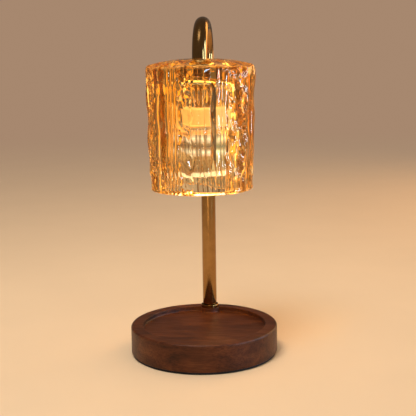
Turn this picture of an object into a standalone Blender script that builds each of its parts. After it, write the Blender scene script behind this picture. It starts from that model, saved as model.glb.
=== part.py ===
"""Candle warmer lamp: a turned wooden base, a bent brass neck and a thick pressed-glass shade that hangs
round a reflector bulb.

Sizes are in metres and +Z is up. The origin is on the surface that the lamp stands on, under the centre of
the round base. The front is -Y. The neck stands at the back and arches forward to an upright axis, on which
the shade, the lampholder and the bulb hang.
"""

import math

import bmesh
import bpy

# Gap between pieces that touch, and between a turned piece and the hole that it passes through
GAP = 0.0003

# Whole lamp, from the surface that it stands on to the top of the neck's arch
LAMP_HEIGHT = 0.3180

# Wooden base
BASE_RADIUS = 0.0700
BASE_RIM = 0.0115
BASE_EDGE_ROUND = 0.0020
BASE_FOOT_ROUND = 0.0008
RECESS_DEPTH = 0.0045
RECESS_FILLET = 0.0014
RECESS_LIP = 0.0007
RECESS_FLOOR = 0.0091

# Pad under the base
PAD_THICKNESS = 0.0020
PAD_INSET = 0.0012

# Cover, its screws and the weight inside the base
COVER_THICKNESS = 0.0020
COVER_WALL = 0.0030
COVER_LEDGE = 0.0080
COVER_SCREW_COUNT = 4
COVER_SCREW_LENGTH = 0.0090
COVER_SCREW_SHANK = 0.0015
COVER_SCREW_HEAD = 0.0029
COVER_SCREW_POINT = 0.0008
PILOT_ROOM = 0.0006
WEIGHT_THICKNESS = 0.0095
WEIGHT_EDGE_ROUND = 0.0008

# Terminal block and the lead that runs through the neck
BLOCK_WIDTH = 0.0120
BLOCK_LENGTH = 0.0120
BLOCK_HEIGHT = 0.0090
BLOCK_FROM_WALL = 0.0040
BLOCK_EDGE_ROUND = 0.0010
BLOCK_ROOM = 0.0009
LEAD_RADIUS = 0.0016
LEAD_BEND = 0.0080
LEAD_ROOM = 0.0006

# Neck tube
TUBE_RADIUS = 0.0070
TUBE_WALL = 0.0012
POLE_FROM_EDGE = 0.0125
SHADE_TO_POLE = 0.0032
TUBE_ABOVE_GLASS = 0.0004
TUBE_ABOVE_CEILING = 0.0010

# Foot of the neck
BOSS_WALL = 0.0022
FERRULE_WALL = 0.0014
FERRULE_HEIGHT = 0.0032
FERRULE_EDGE_ROUND = 0.0009
BOSS_THICKNESS = 0.0080

# Hollow threaded studs at the neck's two ends, with their hexagon nuts
STUD_RADIUS = 0.0050
STUD_BORE = 0.0035
STUD_IN_TUBE = 0.0110
STUD_PAST_NUT = 0.0004
NUT_ACROSS_FLATS = 0.0130
NUT_THICKNESS = 0.0030
NUT_ROOM = 0.0006
WASHER_THICKNESS = 0.0008

# Cord outlet in the back of the base
OUTLET_HEIGHT = 0.0082
GROMMET_BORE = 0.0033
GROMMET_WALL = 0.0011
GROMMET_RIM = 0.0012
GROMMET_RIM_THICKNESS = 0.0012
GROMMET_SUNK = 0.0004
GROMMET_EDGE_ROUND = 0.0005
GROMMET_MOUTH_ROUND = 0.0004

# Glass shade
SHADE_HEIGHT = 0.1200
SHADE_TOP_RADIUS = 0.0513
SHADE_MOUTH_RADIUS = 0.0492
SHADE_SLAB = 0.0180
SHADE_DOME = 0.0048
SHADE_SHOULDER = 0.0056
SHADE_MOUTH_ROUND = 0.0016
SHADE_CEILING_FILLET = 0.0105
SHADE_DRAFT = 0.0010
SHADE_ROUND_CUP = 0.0005
SHADE_HOLE_CLEARANCE = 0.0005
DOME_CURVE = 2.4
DOME_SHARES = (0.85, 0.60)

# Pressed pattern of the shade: broad petals, narrow flutes within each and a rippled surface. The flutes'
# spacing and the ripples are sums of waves: how often each goes round, its reach or climb, and its start
PETAL_COUNT = 11
PETAL_DEPTH = 0.0014
FLUTES_PER_PETAL = 4
FLUTE_DEPTH = 0.0010
RIPPLE_DEPTH = 0.0009
RIPPLE_PITCH = 0.0340
PETAL_DIP = 0.0012
SPACING_WAVES = ((3, 0.040, 0.7), (7, 0.022, 2.1))
RIPPLE_WAVES = ((3, 1.0, 0.0), (5, -0.7, 1.3))
MOUTH_RELIEF = 0.35
SHOULDER_RELIEF = 0.40

# Gasket and disc that carry the shade
GASKET_THICKNESS = 0.0015
GASKET_RADIUS = 0.0140
DISC_THICKNESS = 0.0020
DISC_RADIUS = 0.0155

# Bare stem under the shade's seat, and the cup at its end
STEM_SHOWN = 0.0138
CUP_RADIUS = 0.0250
CUP_HEIGHT = 0.0180
CUP_WALL = 0.0012
CUP_SHOULDER = 0.0025
CUP_ROLLED_EDGE = 0.0008

# Screws that hold the lampholder in the cup
HOLDER_SCREW_SHANK = 0.0013
HOLDER_SCREW_HEAD = 0.0022
HOLDER_SCREW_HEAD_HEIGHT = 0.0013
HOLDER_SCREW_HEAD_SIDE = 0.0008
HOLDER_SCREW_HEAD_TOP = 0.0015
HOLDER_SCREW_LENGTH = 0.0048

# Ceramic lampholder with its two keyhole slots
HOLDER_RADIUS = 0.0140
HOLDER_HEIGHT = 0.0130
HOLDER_LIP = 0.0030
HOLDER_EDGE = 0.0008
TWIST_DEGREES = 25.0

# Bulb pins
PIN_SPACING = 0.0100
PIN_NECK_RADIUS = 0.0015
PIN_HEAD_RADIUS = 0.0024
PIN_HEAD_HEIGHT = 0.0042
PIN_ROOM = 0.0004
PIN_IN_BASE = 0.0040
PIN_EDGE_ROUND = 0.0005

# Reflector bulb
BULB_RADIUS = 0.0250
BULB_RIM = 0.0040
BULB_BOWL = 0.0370
BOWL_CURVE = 2.2
BULB_NECK_RADIUS = 0.0160
BULB_NECK_LENGTH = 0.0015
BULB_WALL = 0.0013
BULB_BASE_TOP_RADIUS = 0.0112
BULB_BASE_HEIGHT = 0.0120
BULB_BASE_IN_NECK = 0.0070
BULB_BASE_EDGE_ROUND = 0.0010
LENS_THICKNESS = 0.0022
LENS_EDGE_ROUND = 0.0010
LENS_LEDGE = 0.00065
CAPSULE_RADIUS = 0.0045
CAPSULE_LENGTH = 0.0240
CAPSULE_IN_BASE = 0.0060
CAPSULE_TIP_ROUND = 0.0027

# Facets round one turn
BASE_SEGMENTS = 56
TUBE_SEGMENTS = 16
BEND_STEPS = 14
SMALL_SEGMENTS = 18
SCREW_SEGMENTS = 9
CUP_SEGMENTS = 24
SEGMENTS_PER_FLUTE = 2
RECESS_STEPS = 50
BOSS_STEPS = 10

# Facets along a rounding, a curve or a run
EDGE_STEPS = 2
SHADE_SIDE_STEPS = 5
SHOULDER_STEPS = 3
BORE_STEPS = 4
CUP_SHOULDER_STEPS = 4
BOWL_STEPS = 5
SLOT_STEPS = 5
LEAD_BEND_STEPS = 6
LEAD_LEG_STEPS = 10
LEAD_DROP_STEPS = 3

# Heights up the base, from the surface that it stands on
WOOD_BOTTOM = PAD_THICKNESS + GAP
COVER_TOP = WOOD_BOTTOM + COVER_THICKNESS
WEIGHT_BOTTOM = COVER_TOP + GAP
WEIGHT_TOP = WEIGHT_BOTTOM + WEIGHT_THICKNESS
CAVITY_CEILING = WEIGHT_TOP + GAP
RECESS_BOTTOM = CAVITY_CEILING + RECESS_FLOOR
WOOD_TOP = RECESS_BOTTOM + RECESS_DEPTH

# Plan of the base: the neck's foot, and the cover as wide as the foot's nut pocket lets it be
RECESS_RADIUS = BASE_RADIUS - BASE_RIM
POLE_Y = BASE_RADIUS - POLE_FROM_EDGE
NUT_CORNER_RADIUS = NUT_ACROSS_FLATS / math.sqrt(3)
NUT_POCKET_RADIUS = NUT_CORNER_RADIUS + NUT_ROOM
SEAT_RADIUS = POLE_Y - NUT_POCKET_RADIUS - COVER_WALL
COVER_RADIUS = SEAT_RADIUS - GAP
CAVITY_RADIUS = SEAT_RADIUS - COVER_LEDGE
WEIGHT_RADIUS = CAVITY_RADIUS - GAP
COVER_SCREW_CIRCLE = SEAT_RADIUS - COVER_LEDGE / 2
PAD_OPENING_RADIUS = SEAT_RADIUS + COVER_WALL / 2

# Foot of the neck: wood ceiling, washer and nut, from the top down
BORE_RADIUS = TUBE_RADIUS - TUBE_WALL
FERRULE_RADIUS = TUBE_RADIUS + GAP + FERRULE_WALL
BOSS_RADIUS = TUBE_RADIUS + BOSS_WALL
TUBE_FOOT = WOOD_TOP + GAP
POCKET_CEILING = WOOD_TOP - BOSS_THICKNESS
FOOT_WASHER_TOP = POCKET_CEILING - GAP
FOOT_NUT_TOP = FOOT_WASHER_TOP - WASHER_THICKNESS - GAP
FOOT_STUD_END = FOOT_NUT_TOP - NUT_THICKNESS - STUD_PAST_NUT

# Lead out of the foot's stud to the terminal block
LEAD_LEVEL = FOOT_STUD_END - LEAD_BEND
BLOCK_BACK = CAVITY_RADIUS - BLOCK_FROM_WALL
BLOCK_FRONT = BLOCK_BACK - BLOCK_LENGTH

# Cord outlet, from the back of the base to the foot's nut pocket
OUTLET_Z = WOOD_BOTTOM + OUTLET_HEIGHT
GROMMET_RADIUS = GROMMET_BORE + GROMMET_WALL
GROMMET_RIM_RADIUS = GROMMET_RADIUS + GROMMET_RIM
GROMMET_FACE = math.sqrt(BASE_RADIUS**2 - GROMMET_RIM_RADIUS**2) - GROMMET_SUNK
GROMMET_RIM_SEAT = GROMMET_FACE - GROMMET_RIM_THICKNESS
GROMMET_INNER_END = POLE_Y + math.sqrt(NUT_POCKET_RADIUS**2 - GROMMET_RADIUS**2)

# Neck: one straight leg, a half turn and a short leg down to the shade
BEND_RADIUS = (TUBE_RADIUS + SHADE_TO_POLE + SHADE_TOP_RADIUS) / 2
SHADE_Y = POLE_Y - 2 * BEND_RADIUS
BEND_Z = LAMP_HEIGHT - TUBE_RADIUS - BEND_RADIUS
GLASS_APEX = BEND_Z - TUBE_ABOVE_GLASS
GLASS_CEILING = GLASS_APEX - SHADE_SLAB
GLASS_MOUTH = GLASS_APEX - SHADE_HEIGHT
SHADE_HOLE_RADIUS = TUBE_RADIUS + SHADE_HOLE_CLEARANCE
TUBE_END = GLASS_CEILING + TUBE_ABOVE_CEILING

# Bore of the shade: just wider than the cup at its ceiling, and wider still at its mouth
CEILING_BORE_RADIUS = CUP_RADIUS + CUP_ROLLED_EDGE + SHADE_ROUND_CUP
MOUTH_BORE_RADIUS = CEILING_BORE_RADIUS + SHADE_DRAFT

# Stack under the shade's ceiling, from the top down
GASKET_TOP = GLASS_CEILING - GAP
DISC_TOP = GASKET_TOP - GASKET_THICKNESS - GAP
SEAT_NUT_TOP = DISC_TOP - DISC_THICKNESS - GAP
STEM_NUT_TOP = SEAT_NUT_TOP - NUT_THICKNESS - STEM_SHOWN
CUP_TOP = STEM_NUT_TOP - NUT_THICKNESS - GAP
CUP_NUT_TOP = CUP_TOP - CUP_WALL - GAP
HEAD_STUD_END = CUP_NUT_TOP - NUT_THICKNESS - STUD_PAST_NUT
HOLDER_TOP = CUP_NUT_TOP
HOLDER_BOTTOM = HOLDER_TOP - HOLDER_HEIGHT
HOLDER_POCKET_FLOOR = HEAD_STUD_END - NUT_ROOM
HOLDER_SCREW_X = (NUT_POCKET_RADIUS + HOLDER_RADIUS) / 2
HOLDER_SCREW_SEAT = CUP_TOP + GAP
HOLDER_SCREW_END = HOLDER_SCREW_SEAT - HOLDER_SCREW_LENGTH

# Bulb, from its ceramic base down to its face
BULB_BASE_TOP = HOLDER_BOTTOM - GAP
BULB_BASE_BOTTOM = BULB_BASE_TOP - BULB_BASE_HEIGHT
BULB_NECK_TOP = BULB_BASE_BOTTOM + BULB_BASE_IN_NECK
BULB_BOWL_TOP = BULB_NECK_TOP - BULB_NECK_LENGTH
BULB_RIM_TOP = BULB_BOWL_TOP - BULB_BOWL
BULB_FACE = BULB_RIM_TOP - BULB_RIM
PIN_HEAD_BOTTOM = HOLDER_BOTTOM + HOLDER_LIP + PIN_ROOM
PIN_TOP = PIN_HEAD_BOTTOM + PIN_HEAD_HEIGHT

# Past the face of a piece, so that a cutter goes right through it
THROUGH = 0.0020

# Most of a side that the rounding at one of its ends may take
ROUNDING_SHARE = 0.48

# Linear colour, roughness, metallic and transmission of each finish
FINISHES = {
    "oiled_walnut": ((0.165, 0.070, 0.032), 0.42, 0.0, 0.0),
    "black_foam": ((0.012, 0.012, 0.013), 0.92, 0.0, 0.0),
    "zinc_steel": ((0.55, 0.56, 0.57), 0.38, 1.0, 0.0),
    "cast_iron": ((0.060, 0.060, 0.064), 0.65, 0.8, 0.0),
    "white_nylon": ((0.78, 0.76, 0.70), 0.50, 0.0, 0.0),
    "black_rubber": ((0.020, 0.020, 0.020), 0.75, 0.0, 0.0),
    "antique_brass": ((0.330, 0.205, 0.085), 0.20, 1.0, 0.0),
    "turned_brass": ((0.620, 0.430, 0.170), 0.30, 1.0, 0.0),
    "amber_glass": ((1.000, 0.640, 0.230), 0.04, 0.0, 1.0),
    "clear_silicone": ((0.800, 0.780, 0.720), 0.55, 0.0, 0.3),
    "cream_enamel": ((0.820, 0.640, 0.400), 0.30, 0.0, 0.0),
    "white_ceramic": ((0.800, 0.770, 0.700), 0.35, 0.0, 0.0),
    "mirror_coating": ((0.800, 0.780, 0.740), 0.12, 1.0, 0.0),
    "clear_glass": ((0.950, 0.930, 0.880), 0.05, 0.0, 1.0),
    "tinned_copper": ((0.700, 0.690, 0.660), 0.28, 1.0, 0.0),
}


def clear_scene():
    """Removes every object, so that only the lamp is left."""
    for existing in list(bpy.data.objects):
        bpy.data.objects.remove(existing, do_unlink=True)


def dress(piece, finish):
    """Gives a piece its own material."""
    colour, roughness, metallic, transmission = FINISHES[finish]
    surface = bpy.data.materials.new(f"{piece.name}_{finish}")
    surface.use_nodes = True
    shader = surface.node_tree.nodes["Principled BSDF"]
    shader.inputs["Base Color"].default_value = (*colour, 1.0)
    shader.inputs["Roughness"].default_value = roughness
    shader.inputs["Metallic"].default_value = metallic
    shader.inputs["Transmission Weight"].default_value = transmission
    surface.diffuse_color = (*colour, 1.0)
    piece.data.materials.append(surface)


def link_mesh(name, points, faces, finish=None, sharp=35):
    """Makes an object of points and faces, with its faces outward and its round sides smooth."""
    mesh = bpy.data.meshes.new(name)
    mesh.from_pydata(points, [], faces)
    shape = bmesh.new()
    shape.from_mesh(mesh)
    bmesh.ops.recalc_face_normals(shape, faces=shape.faces)
    shape.to_mesh(mesh)
    shape.free()
    mesh.shade_smooth()
    mesh.set_sharp_from_angle(angle=math.radians(sharp))
    piece = bpy.data.objects.new(name, mesh)
    bpy.context.scene.collection.objects.link(piece)
    if finish:
        dress(piece, finish)
    return piece


def loft(name, rings, finish=None, ring_shaped=False, sharp=35):
    """Skins rings of as many points each. The last ring joins the first, or both ends are capped."""
    count = len(rings[0])
    points = [point for ring in rings for point in ring]
    pairs = list(zip(range(len(rings)), range(1, len(rings))))
    if ring_shaped:
        pairs.append((len(rings) - 1, 0))
    faces = []
    for low, high in pairs:
        for step in range(count):
            following = (step + 1) % count
            faces.append(
                (low * count + step, low * count + following, high * count + following, high * count + step)
            )
    if not ring_shaped:
        faces.append(tuple(range(count))[::-1])
        faces.append(tuple(range((len(rings) - 1) * count, len(rings) * count)))
    return link_mesh(name, points, faces, finish, sharp)


def rounded(corners, steps=3, closed=True):
    """Turns corners (radius, height, rounding) into an outline whose rounded corners are arcs."""
    outline = []
    count = len(corners)
    for index, corner in enumerate(corners):
        radius = corner[2] if len(corner) > 2 else 0.0
        at_end = not closed and index in (0, count - 1)
        if radius <= 0 or at_end:
            outline.append((corner[0], corner[1]))
            continue
        before, after = corners[index - 1], corners[(index + 1) % count]
        back = (before[0] - corner[0], before[1] - corner[1])
        ahead = (after[0] - corner[0], after[1] - corner[1])
        back_length, ahead_length = math.hypot(*back), math.hypot(*ahead)
        back = (back[0] / back_length, back[1] / back_length)
        ahead = (ahead[0] / ahead_length, ahead[1] / ahead_length)
        half = math.acos(max(-1.0, min(1.0, back[0] * ahead[0] + back[1] * ahead[1]))) / 2
        reach = min(radius / math.tan(half), ROUNDING_SHARE * back_length, ROUNDING_SHARE * ahead_length)
        radius = reach * math.tan(half)
        middle = (back[0] + ahead[0], back[1] + ahead[1])
        middle_length = math.hypot(*middle)
        away = radius / math.sin(half)
        centre = (corner[0] + middle[0] / middle_length * away, corner[1] + middle[1] / middle_length * away)
        start = math.atan2(corner[1] + back[1] * reach - centre[1], corner[0] + back[0] * reach - centre[0])
        end = math.atan2(corner[1] + ahead[1] * reach - centre[1], corner[0] + ahead[0] * reach - centre[0])
        turn = (end - start + math.pi) % (2 * math.pi) - math.pi
        for step in range(steps + 1):
            angle = start + turn * step / steps
            outline.append((centre[0] + radius * math.cos(angle), centre[1] + radius * math.sin(angle)))
    return outline


def circle(radius, height, segments, centre_y=0.0):
    """A level ring of points."""
    turns = [2 * math.pi * step / segments for step in range(segments)]
    return [(radius * math.cos(turn), centre_y + radius * math.sin(turn), height) for turn in turns]


def turned(name, outline, finish=None, segments=SMALL_SEGMENTS, centre_y=0.0, bored=True):
    """Turns an outline of (radius, height) about an upright axis. A bored piece's outline is closed."""
    rings = [circle(radius, height, segments, centre_y) for radius, height in outline]
    return loft(name, rings, finish, ring_shaped=bored)


def washer_outline(inner, outer, bottom, top):
    """Section of a flat ring."""
    return [(inner, bottom), (outer, bottom), (outer, top), (inner, top)]


def cylinder(name, radius, bottom, top, finish=None, segments=SMALL_SEGMENTS, centre=(0.0, 0.0)):
    """A plain upright cylinder."""
    rings = [
        [(centre[0] + x, y, z) for x, y, z in circle(radius, height, segments, centre[1])]
        for height in (bottom, top)
    ]
    return loft(name, rings, finish)


def upright(name, outline, finish, centre):
    """Turns a small solid piece's outline of (radius, height) about an upright line through a place."""
    rings = [
        [(centre[0] + x, y, z) for x, y, z in circle(radius, height, SCREW_SEGMENTS, centre[1])]
        for radius, height in outline
    ]
    return loft(name, rings, finish)


def prism(name, outline, bottom, top, finish=None):
    """An upright prism on a flat outline of (x, y)."""
    return loft(name, [[(x, y, height) for x, y in outline] for height in (bottom, top)], finish)


def rectangle(low_x, high_x, low_y, high_y):
    """Corners of a level rectangle."""
    return [(low_x, low_y), (high_x, low_y), (high_x, high_y), (low_x, high_y)]


def cut(piece, cutter):
    """Takes the cutter's shape out of the piece."""
    cutter.hide_render = True
    cutter.display_type = "WIRE"
    modifier = piece.modifiers.new(cutter.name, "BOOLEAN")
    modifier.operation = "DIFFERENCE"
    modifier.solver = "EXACT"
    modifier.object = cutter


def stand_along_y(piece, centre_z):
    """Lays a piece that was turned about Z along Y instead, its top end to the back, at a height."""
    for vertex in piece.data.vertices:
        x, y, z = vertex.co
        vertex.co = (x, z, centre_z - y)


def recess_ring(inset, height):
    """Outline of the candle's recess: the round pocket less the boss that carries the neck's foot."""
    pocket = RECESS_RADIUS - inset
    boss = BOSS_RADIUS + inset
    meet_y = (pocket**2 - boss**2 + POLE_Y**2) / (2 * POLE_Y)
    meet_x = math.sqrt(pocket**2 - meet_y**2)
    pocket_angle = math.atan2(meet_y, -meet_x)
    boss_angle = math.atan2(meet_y - POLE_Y, meet_x)
    pocket_sweep = 2 * math.pi - 2 * (pocket_angle - math.pi / 2)
    points = []
    for step in range(RECESS_STEPS):
        angle = pocket_angle + pocket_sweep * step / RECESS_STEPS
        points.append((pocket * math.cos(angle), pocket * math.sin(angle), height))
    boss_sweep = math.pi + 2 * boss_angle
    for step in range(BOSS_STEPS):
        angle = boss_angle - boss_sweep * step / BOSS_STEPS
        points.append((boss * math.cos(angle), POLE_Y + boss * math.sin(angle), height))
    return points


def recess_cutter():
    """Pocket for the candle, with a filleted floor and a softened lip."""
    rings = []
    for step in range(EDGE_STEPS + 1):
        angle = math.pi / 2 * step / EDGE_STEPS
        inset = RECESS_FILLET * (1 - math.sin(angle))
        rings.append(recess_ring(inset, RECESS_BOTTOM + RECESS_FILLET * (1 - math.cos(angle))))
    for step in range(EDGE_STEPS + 1):
        angle = math.pi / 2 * step / EDGE_STEPS
        height = WOOD_TOP - RECESS_LIP * (1 - math.sin(angle))
        rings.append(recess_ring(-RECESS_LIP * (1 - math.cos(angle)), height))
    rings.append(recess_ring(-RECESS_LIP, WOOD_TOP + THROUGH))
    return loft("recess_cutter", rings)


def cover_screw_places():
    """Where the cover's screws stand, clear of the lead's channel at the back."""
    for index in range(COVER_SCREW_COUNT):
        angle = 2 * math.pi * (index + 0.5) / COVER_SCREW_COUNT
        yield index + 1, (COVER_SCREW_CIRCLE * math.cos(angle), COVER_SCREW_CIRCLE * math.sin(angle))


def countersunk(name, centre, allowance, bottom, length, finish=None):
    """A countersunk screw that points up, or the hole for one when it is given an allowance."""
    head = COVER_SCREW_HEAD + allowance
    shank = COVER_SCREW_SHANK + allowance
    depth = head - shank
    outline = [
        (head, bottom),
        (shank, bottom + depth),
        (shank, bottom + length - COVER_SCREW_POINT),
        (shank - COVER_SCREW_POINT, bottom + length),
    ]
    return upright(name, outline, finish, centre)


def make_wooden_base():
    """Turned walnut disc: candle recess on top, and the weight's cavity and the cover's seat below."""
    outline = rounded(
        [
            (CAVITY_RADIUS, CAVITY_CEILING),
            (CAVITY_RADIUS, COVER_TOP + GAP),
            (SEAT_RADIUS, COVER_TOP + GAP),
            (SEAT_RADIUS, WOOD_BOTTOM),
            (BASE_RADIUS, WOOD_BOTTOM, BASE_FOOT_ROUND),
            (BASE_RADIUS, WOOD_TOP, BASE_EDGE_ROUND),
            (BASE_RADIUS / 2, WOOD_TOP),
        ],
        steps=3,
        closed=False,
    )
    base = turned("wooden_base", outline, "oiled_walnut", BASE_SEGMENTS, bored=False)
    cut(base, recess_cutter())
    pocket = cylinder(
        "nut_pocket_cutter", NUT_POCKET_RADIUS, WOOD_BOTTOM - THROUGH, POCKET_CEILING, centre=(0.0, POLE_Y)
    )
    cut(base, pocket)
    stud_hole = cylinder(
        "stud_hole_cutter",
        STUD_RADIUS + GAP,
        POCKET_CEILING - THROUGH,
        WOOD_TOP + THROUGH,
        centre=(0.0, POLE_Y),
    )
    cut(base, stud_hole)
    half_channel = LEAD_RADIUS + LEAD_ROOM
    channel = prism(
        "lead_channel_cutter",
        rectangle(-half_channel, half_channel, CAVITY_RADIUS - THROUGH, POLE_Y),
        WOOD_BOTTOM - THROUGH,
        LEAD_LEVEL + half_channel,
    )
    cut(base, channel)
    outlet = cylinder("outlet_cutter", GROMMET_RADIUS + GAP, POLE_Y, BASE_RADIUS + THROUGH)
    stand_along_y(outlet, OUTLET_Z)
    cut(base, outlet)
    spot = cylinder(
        "outlet_spot_cutter", GROMMET_RIM_RADIUS + GAP, GROMMET_RIM_SEAT - GAP, BASE_RADIUS + THROUGH
    )
    stand_along_y(spot, OUTLET_Z)
    cut(base, spot)
    for index, place in cover_screw_places():
        hole = cylinder(
            f"pilot_cutter_{index}",
            COVER_SCREW_SHANK + GAP,
            COVER_TOP - THROUGH,
            WOOD_BOTTOM + COVER_SCREW_LENGTH + PILOT_ROOM,
            segments=SCREW_SEGMENTS,
            centre=place,
        )
        cut(base, hole)


def make_base_pad():
    """Foam ring stuck under the base, which stands on it."""
    turned(
        "base_pad",
        washer_outline(PAD_OPENING_RADIUS, BASE_RADIUS - PAD_INSET, 0.0, PAD_THICKNESS),
        "black_foam",
        BASE_SEGMENTS,
    )


def make_bottom_cover():
    """Steel plate let into the underside, held by countersunk screws."""
    cover = cylinder("bottom_cover", COVER_RADIUS, WOOD_BOTTOM, COVER_TOP, "zinc_steel", BASE_SEGMENTS)
    for index, place in cover_screw_places():
        name = f"countersink_cutter_{index}"
        cut(cover, countersunk(name, place, GAP, WOOD_BOTTOM - GAP, COVER_SCREW_LENGTH))
        countersunk(f"cover_screw_{index}", place, 0.0, WOOD_BOTTOM, COVER_SCREW_LENGTH, "zinc_steel")


def make_ballast_weight():
    """Cast-iron disc that steadies the lamp, notched at the back for the terminal block."""
    outline = rounded(
        [
            (WEIGHT_RADIUS / 2, WEIGHT_BOTTOM),
            (WEIGHT_RADIUS, WEIGHT_BOTTOM, WEIGHT_EDGE_ROUND),
            (WEIGHT_RADIUS, WEIGHT_TOP, WEIGHT_EDGE_ROUND),
            (WEIGHT_RADIUS / 2, WEIGHT_TOP),
        ],
        steps=EDGE_STEPS,
        closed=False,
    )
    weight = turned("ballast_weight", outline, "cast_iron", CUP_SEGMENTS, bored=False)
    half_notch = BLOCK_WIDTH / 2 + BLOCK_ROOM
    notch = prism(
        "block_notch_cutter",
        rectangle(-half_notch, half_notch, BLOCK_FRONT - BLOCK_ROOM, WEIGHT_RADIUS + THROUGH),
        WEIGHT_BOTTOM - THROUGH,
        WEIGHT_TOP + THROUGH,
    )
    cut(weight, notch)


def make_terminal_block():
    """Nylon block under the cavity's ceiling, in which the neck's lead ends."""
    half = BLOCK_WIDTH / 2
    prism(
        "terminal_block",
        rounded(
            [(x, y, BLOCK_EDGE_ROUND) for x, y in rectangle(-half, half, BLOCK_FRONT, BLOCK_BACK)],
            steps=EDGE_STEPS,
        ),
        CAVITY_CEILING - GAP - BLOCK_HEIGHT,
        CAVITY_CEILING - GAP,
        "white_nylon",
    )


def make_cord_grommet():
    """Rubber bush of the cord's outlet, its rim let into the back of the base."""
    outline = rounded(
        [
            (GROMMET_BORE, GROMMET_INNER_END),
            (GROMMET_RADIUS, GROMMET_INNER_END),
            (GROMMET_RADIUS, GROMMET_RIM_SEAT),
            (GROMMET_RIM_RADIUS, GROMMET_RIM_SEAT),
            (GROMMET_RIM_RADIUS, GROMMET_FACE, GROMMET_EDGE_ROUND),
            (GROMMET_BORE, GROMMET_FACE, GROMMET_MOUTH_ROUND),
        ],
        steps=EDGE_STEPS,
    )
    grommet = turned("cord_grommet", outline, "black_rubber")
    stand_along_y(grommet, OUTLET_Z)


def hexagon_ring(height):
    """Ring of points along a hexagon nut's outline."""
    points = []
    for step in range(SMALL_SEGMENTS):
        angle = 2 * math.pi * step / SMALL_SEGMENTS
        from_flat = (angle % (math.pi / 3)) - math.pi / 6
        radius = NUT_ACROSS_FLATS / 2 / math.cos(from_flat)
        points.append((radius * math.cos(angle), radius * math.sin(angle), height))
    return points


def make_nut(name, top, centre_y):
    """Thin hexagon nut on a threaded stud."""
    bottom = top - NUT_THICKNESS
    bore = STUD_RADIUS + GAP
    rings = [
        circle(bore, bottom, SMALL_SEGMENTS),
        hexagon_ring(bottom),
        hexagon_ring(top),
        circle(bore, top, SMALL_SEGMENTS),
    ]
    rings = [[(x, y + centre_y, z) for x, y, z in ring] for ring in rings]
    loft(name, rings, "turned_brass", ring_shaped=True)


def make_stud(name, tube_end, inward, end, centre_y):
    """Hollow threaded stud: a plug in the tube's end and a thinner thread that goes on past it."""
    plug = BORE_RADIUS - GAP
    outline = [
        (STUD_BORE, tube_end + inward * STUD_IN_TUBE),
        (plug, tube_end + inward * STUD_IN_TUBE),
        (plug, tube_end),
        (STUD_RADIUS, tube_end),
        (STUD_RADIUS, end),
        (STUD_BORE, end),
    ]
    turned(name, outline, "turned_brass", centre_y=centre_y)


def make_foot():
    """What clamps the neck's foot to the base: ferrule, stud, washer and nut."""
    outline = rounded(
        [
            (TUBE_RADIUS + GAP, TUBE_FOOT),
            (FERRULE_RADIUS, TUBE_FOOT),
            (FERRULE_RADIUS, TUBE_FOOT + FERRULE_HEIGHT, FERRULE_EDGE_ROUND),
            (TUBE_RADIUS + GAP, TUBE_FOOT + FERRULE_HEIGHT),
        ]
    )
    turned("foot_ferrule", outline, "antique_brass", centre_y=POLE_Y)
    make_stud("foot_stud", TUBE_FOOT, 1, FOOT_STUD_END, POLE_Y)
    washer = washer_outline(
        STUD_RADIUS + GAP, NUT_CORNER_RADIUS, FOOT_WASHER_TOP - WASHER_THICKNESS, FOOT_WASHER_TOP
    )
    turned("foot_washer", washer, "zinc_steel", centre_y=POLE_Y)
    make_nut("foot_nut", FOOT_NUT_TOP, POLE_Y)


def neck_path():
    """Centre line of the neck as (y, z, slope): up the back leg, over the bend and down to the shade."""
    stations = [(POLE_Y, TUBE_FOOT, 0.0)]
    for step in range(BEND_STEPS + 1):
        slope = math.pi * step / BEND_STEPS
        y = POLE_Y - BEND_RADIUS * (1 - math.cos(slope))
        stations.append((y, BEND_Z + BEND_RADIUS * math.sin(slope), slope))
    stations.append((SHADE_Y, TUBE_END, math.pi))
    return stations


def make_neck_tube():
    """Bent tube: a ring carried along the neck's centre line outside, and back along it inside."""

    def section(station, radius):
        y, z, slope = station
        across = (math.cos(slope), math.sin(slope))
        points = []
        for step in range(TUBE_SEGMENTS):
            angle = 2 * math.pi * step / TUBE_SEGMENTS
            reach = radius * math.sin(angle)
            points.append((radius * math.cos(angle), y + across[0] * reach, z + across[1] * reach))
        return points

    path = neck_path()
    rings = [section(station, TUBE_RADIUS) for station in path]
    rings += [section(station, BORE_RADIUS) for station in reversed(path)]
    loft("neck_tube", rings, "antique_brass", ring_shaped=True)


def make_neck_lead():
    """Insulated lead held in the neck, from the terminal block up and over to the lampholder."""
    points = [(BLOCK_BACK + GAP, LEAD_LEVEL), (POLE_Y - LEAD_BEND - LEAD_RADIUS, LEAD_LEVEL)]
    for step in range(LEAD_BEND_STEPS + 1):
        slope = math.pi / 2 * step / LEAD_BEND_STEPS
        points.append(
            (
                POLE_Y - LEAD_BEND * (1 - math.sin(slope)),
                LEAD_LEVEL + LEAD_BEND * (1 - math.cos(slope)),
            )
        )
    for step in range(1, LEAD_LEG_STEPS):
        points.append((POLE_Y, FOOT_STUD_END + (BEND_Z - FOOT_STUD_END) * step / LEAD_LEG_STEPS))
    points += [(y, z) for y, z, slope in neck_path()[1:-1]]
    lead_end = HOLDER_POCKET_FLOOR + GAP
    for step in range(1, LEAD_DROP_STEPS + 1):
        points.append((SHADE_Y, BEND_Z + (lead_end - BEND_Z) * step / LEAD_DROP_STEPS))
    curve = bpy.data.curves.new("neck_lead", "CURVE")
    curve.dimensions = "3D"
    curve.bevel_depth = LEAD_RADIUS
    curve.bevel_resolution = 2
    curve.use_fill_caps = True
    route = curve.splines.new("POLY")
    route.points.add(len(points) - 1)
    for point, (y, z) in zip(route.points, points):
        point.co = (0.0, y, z, 1.0)
    lead = bpy.data.objects.new("neck_lead", curve)
    bpy.context.scene.collection.objects.link(lead)
    dress(lead, "white_nylon")


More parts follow.
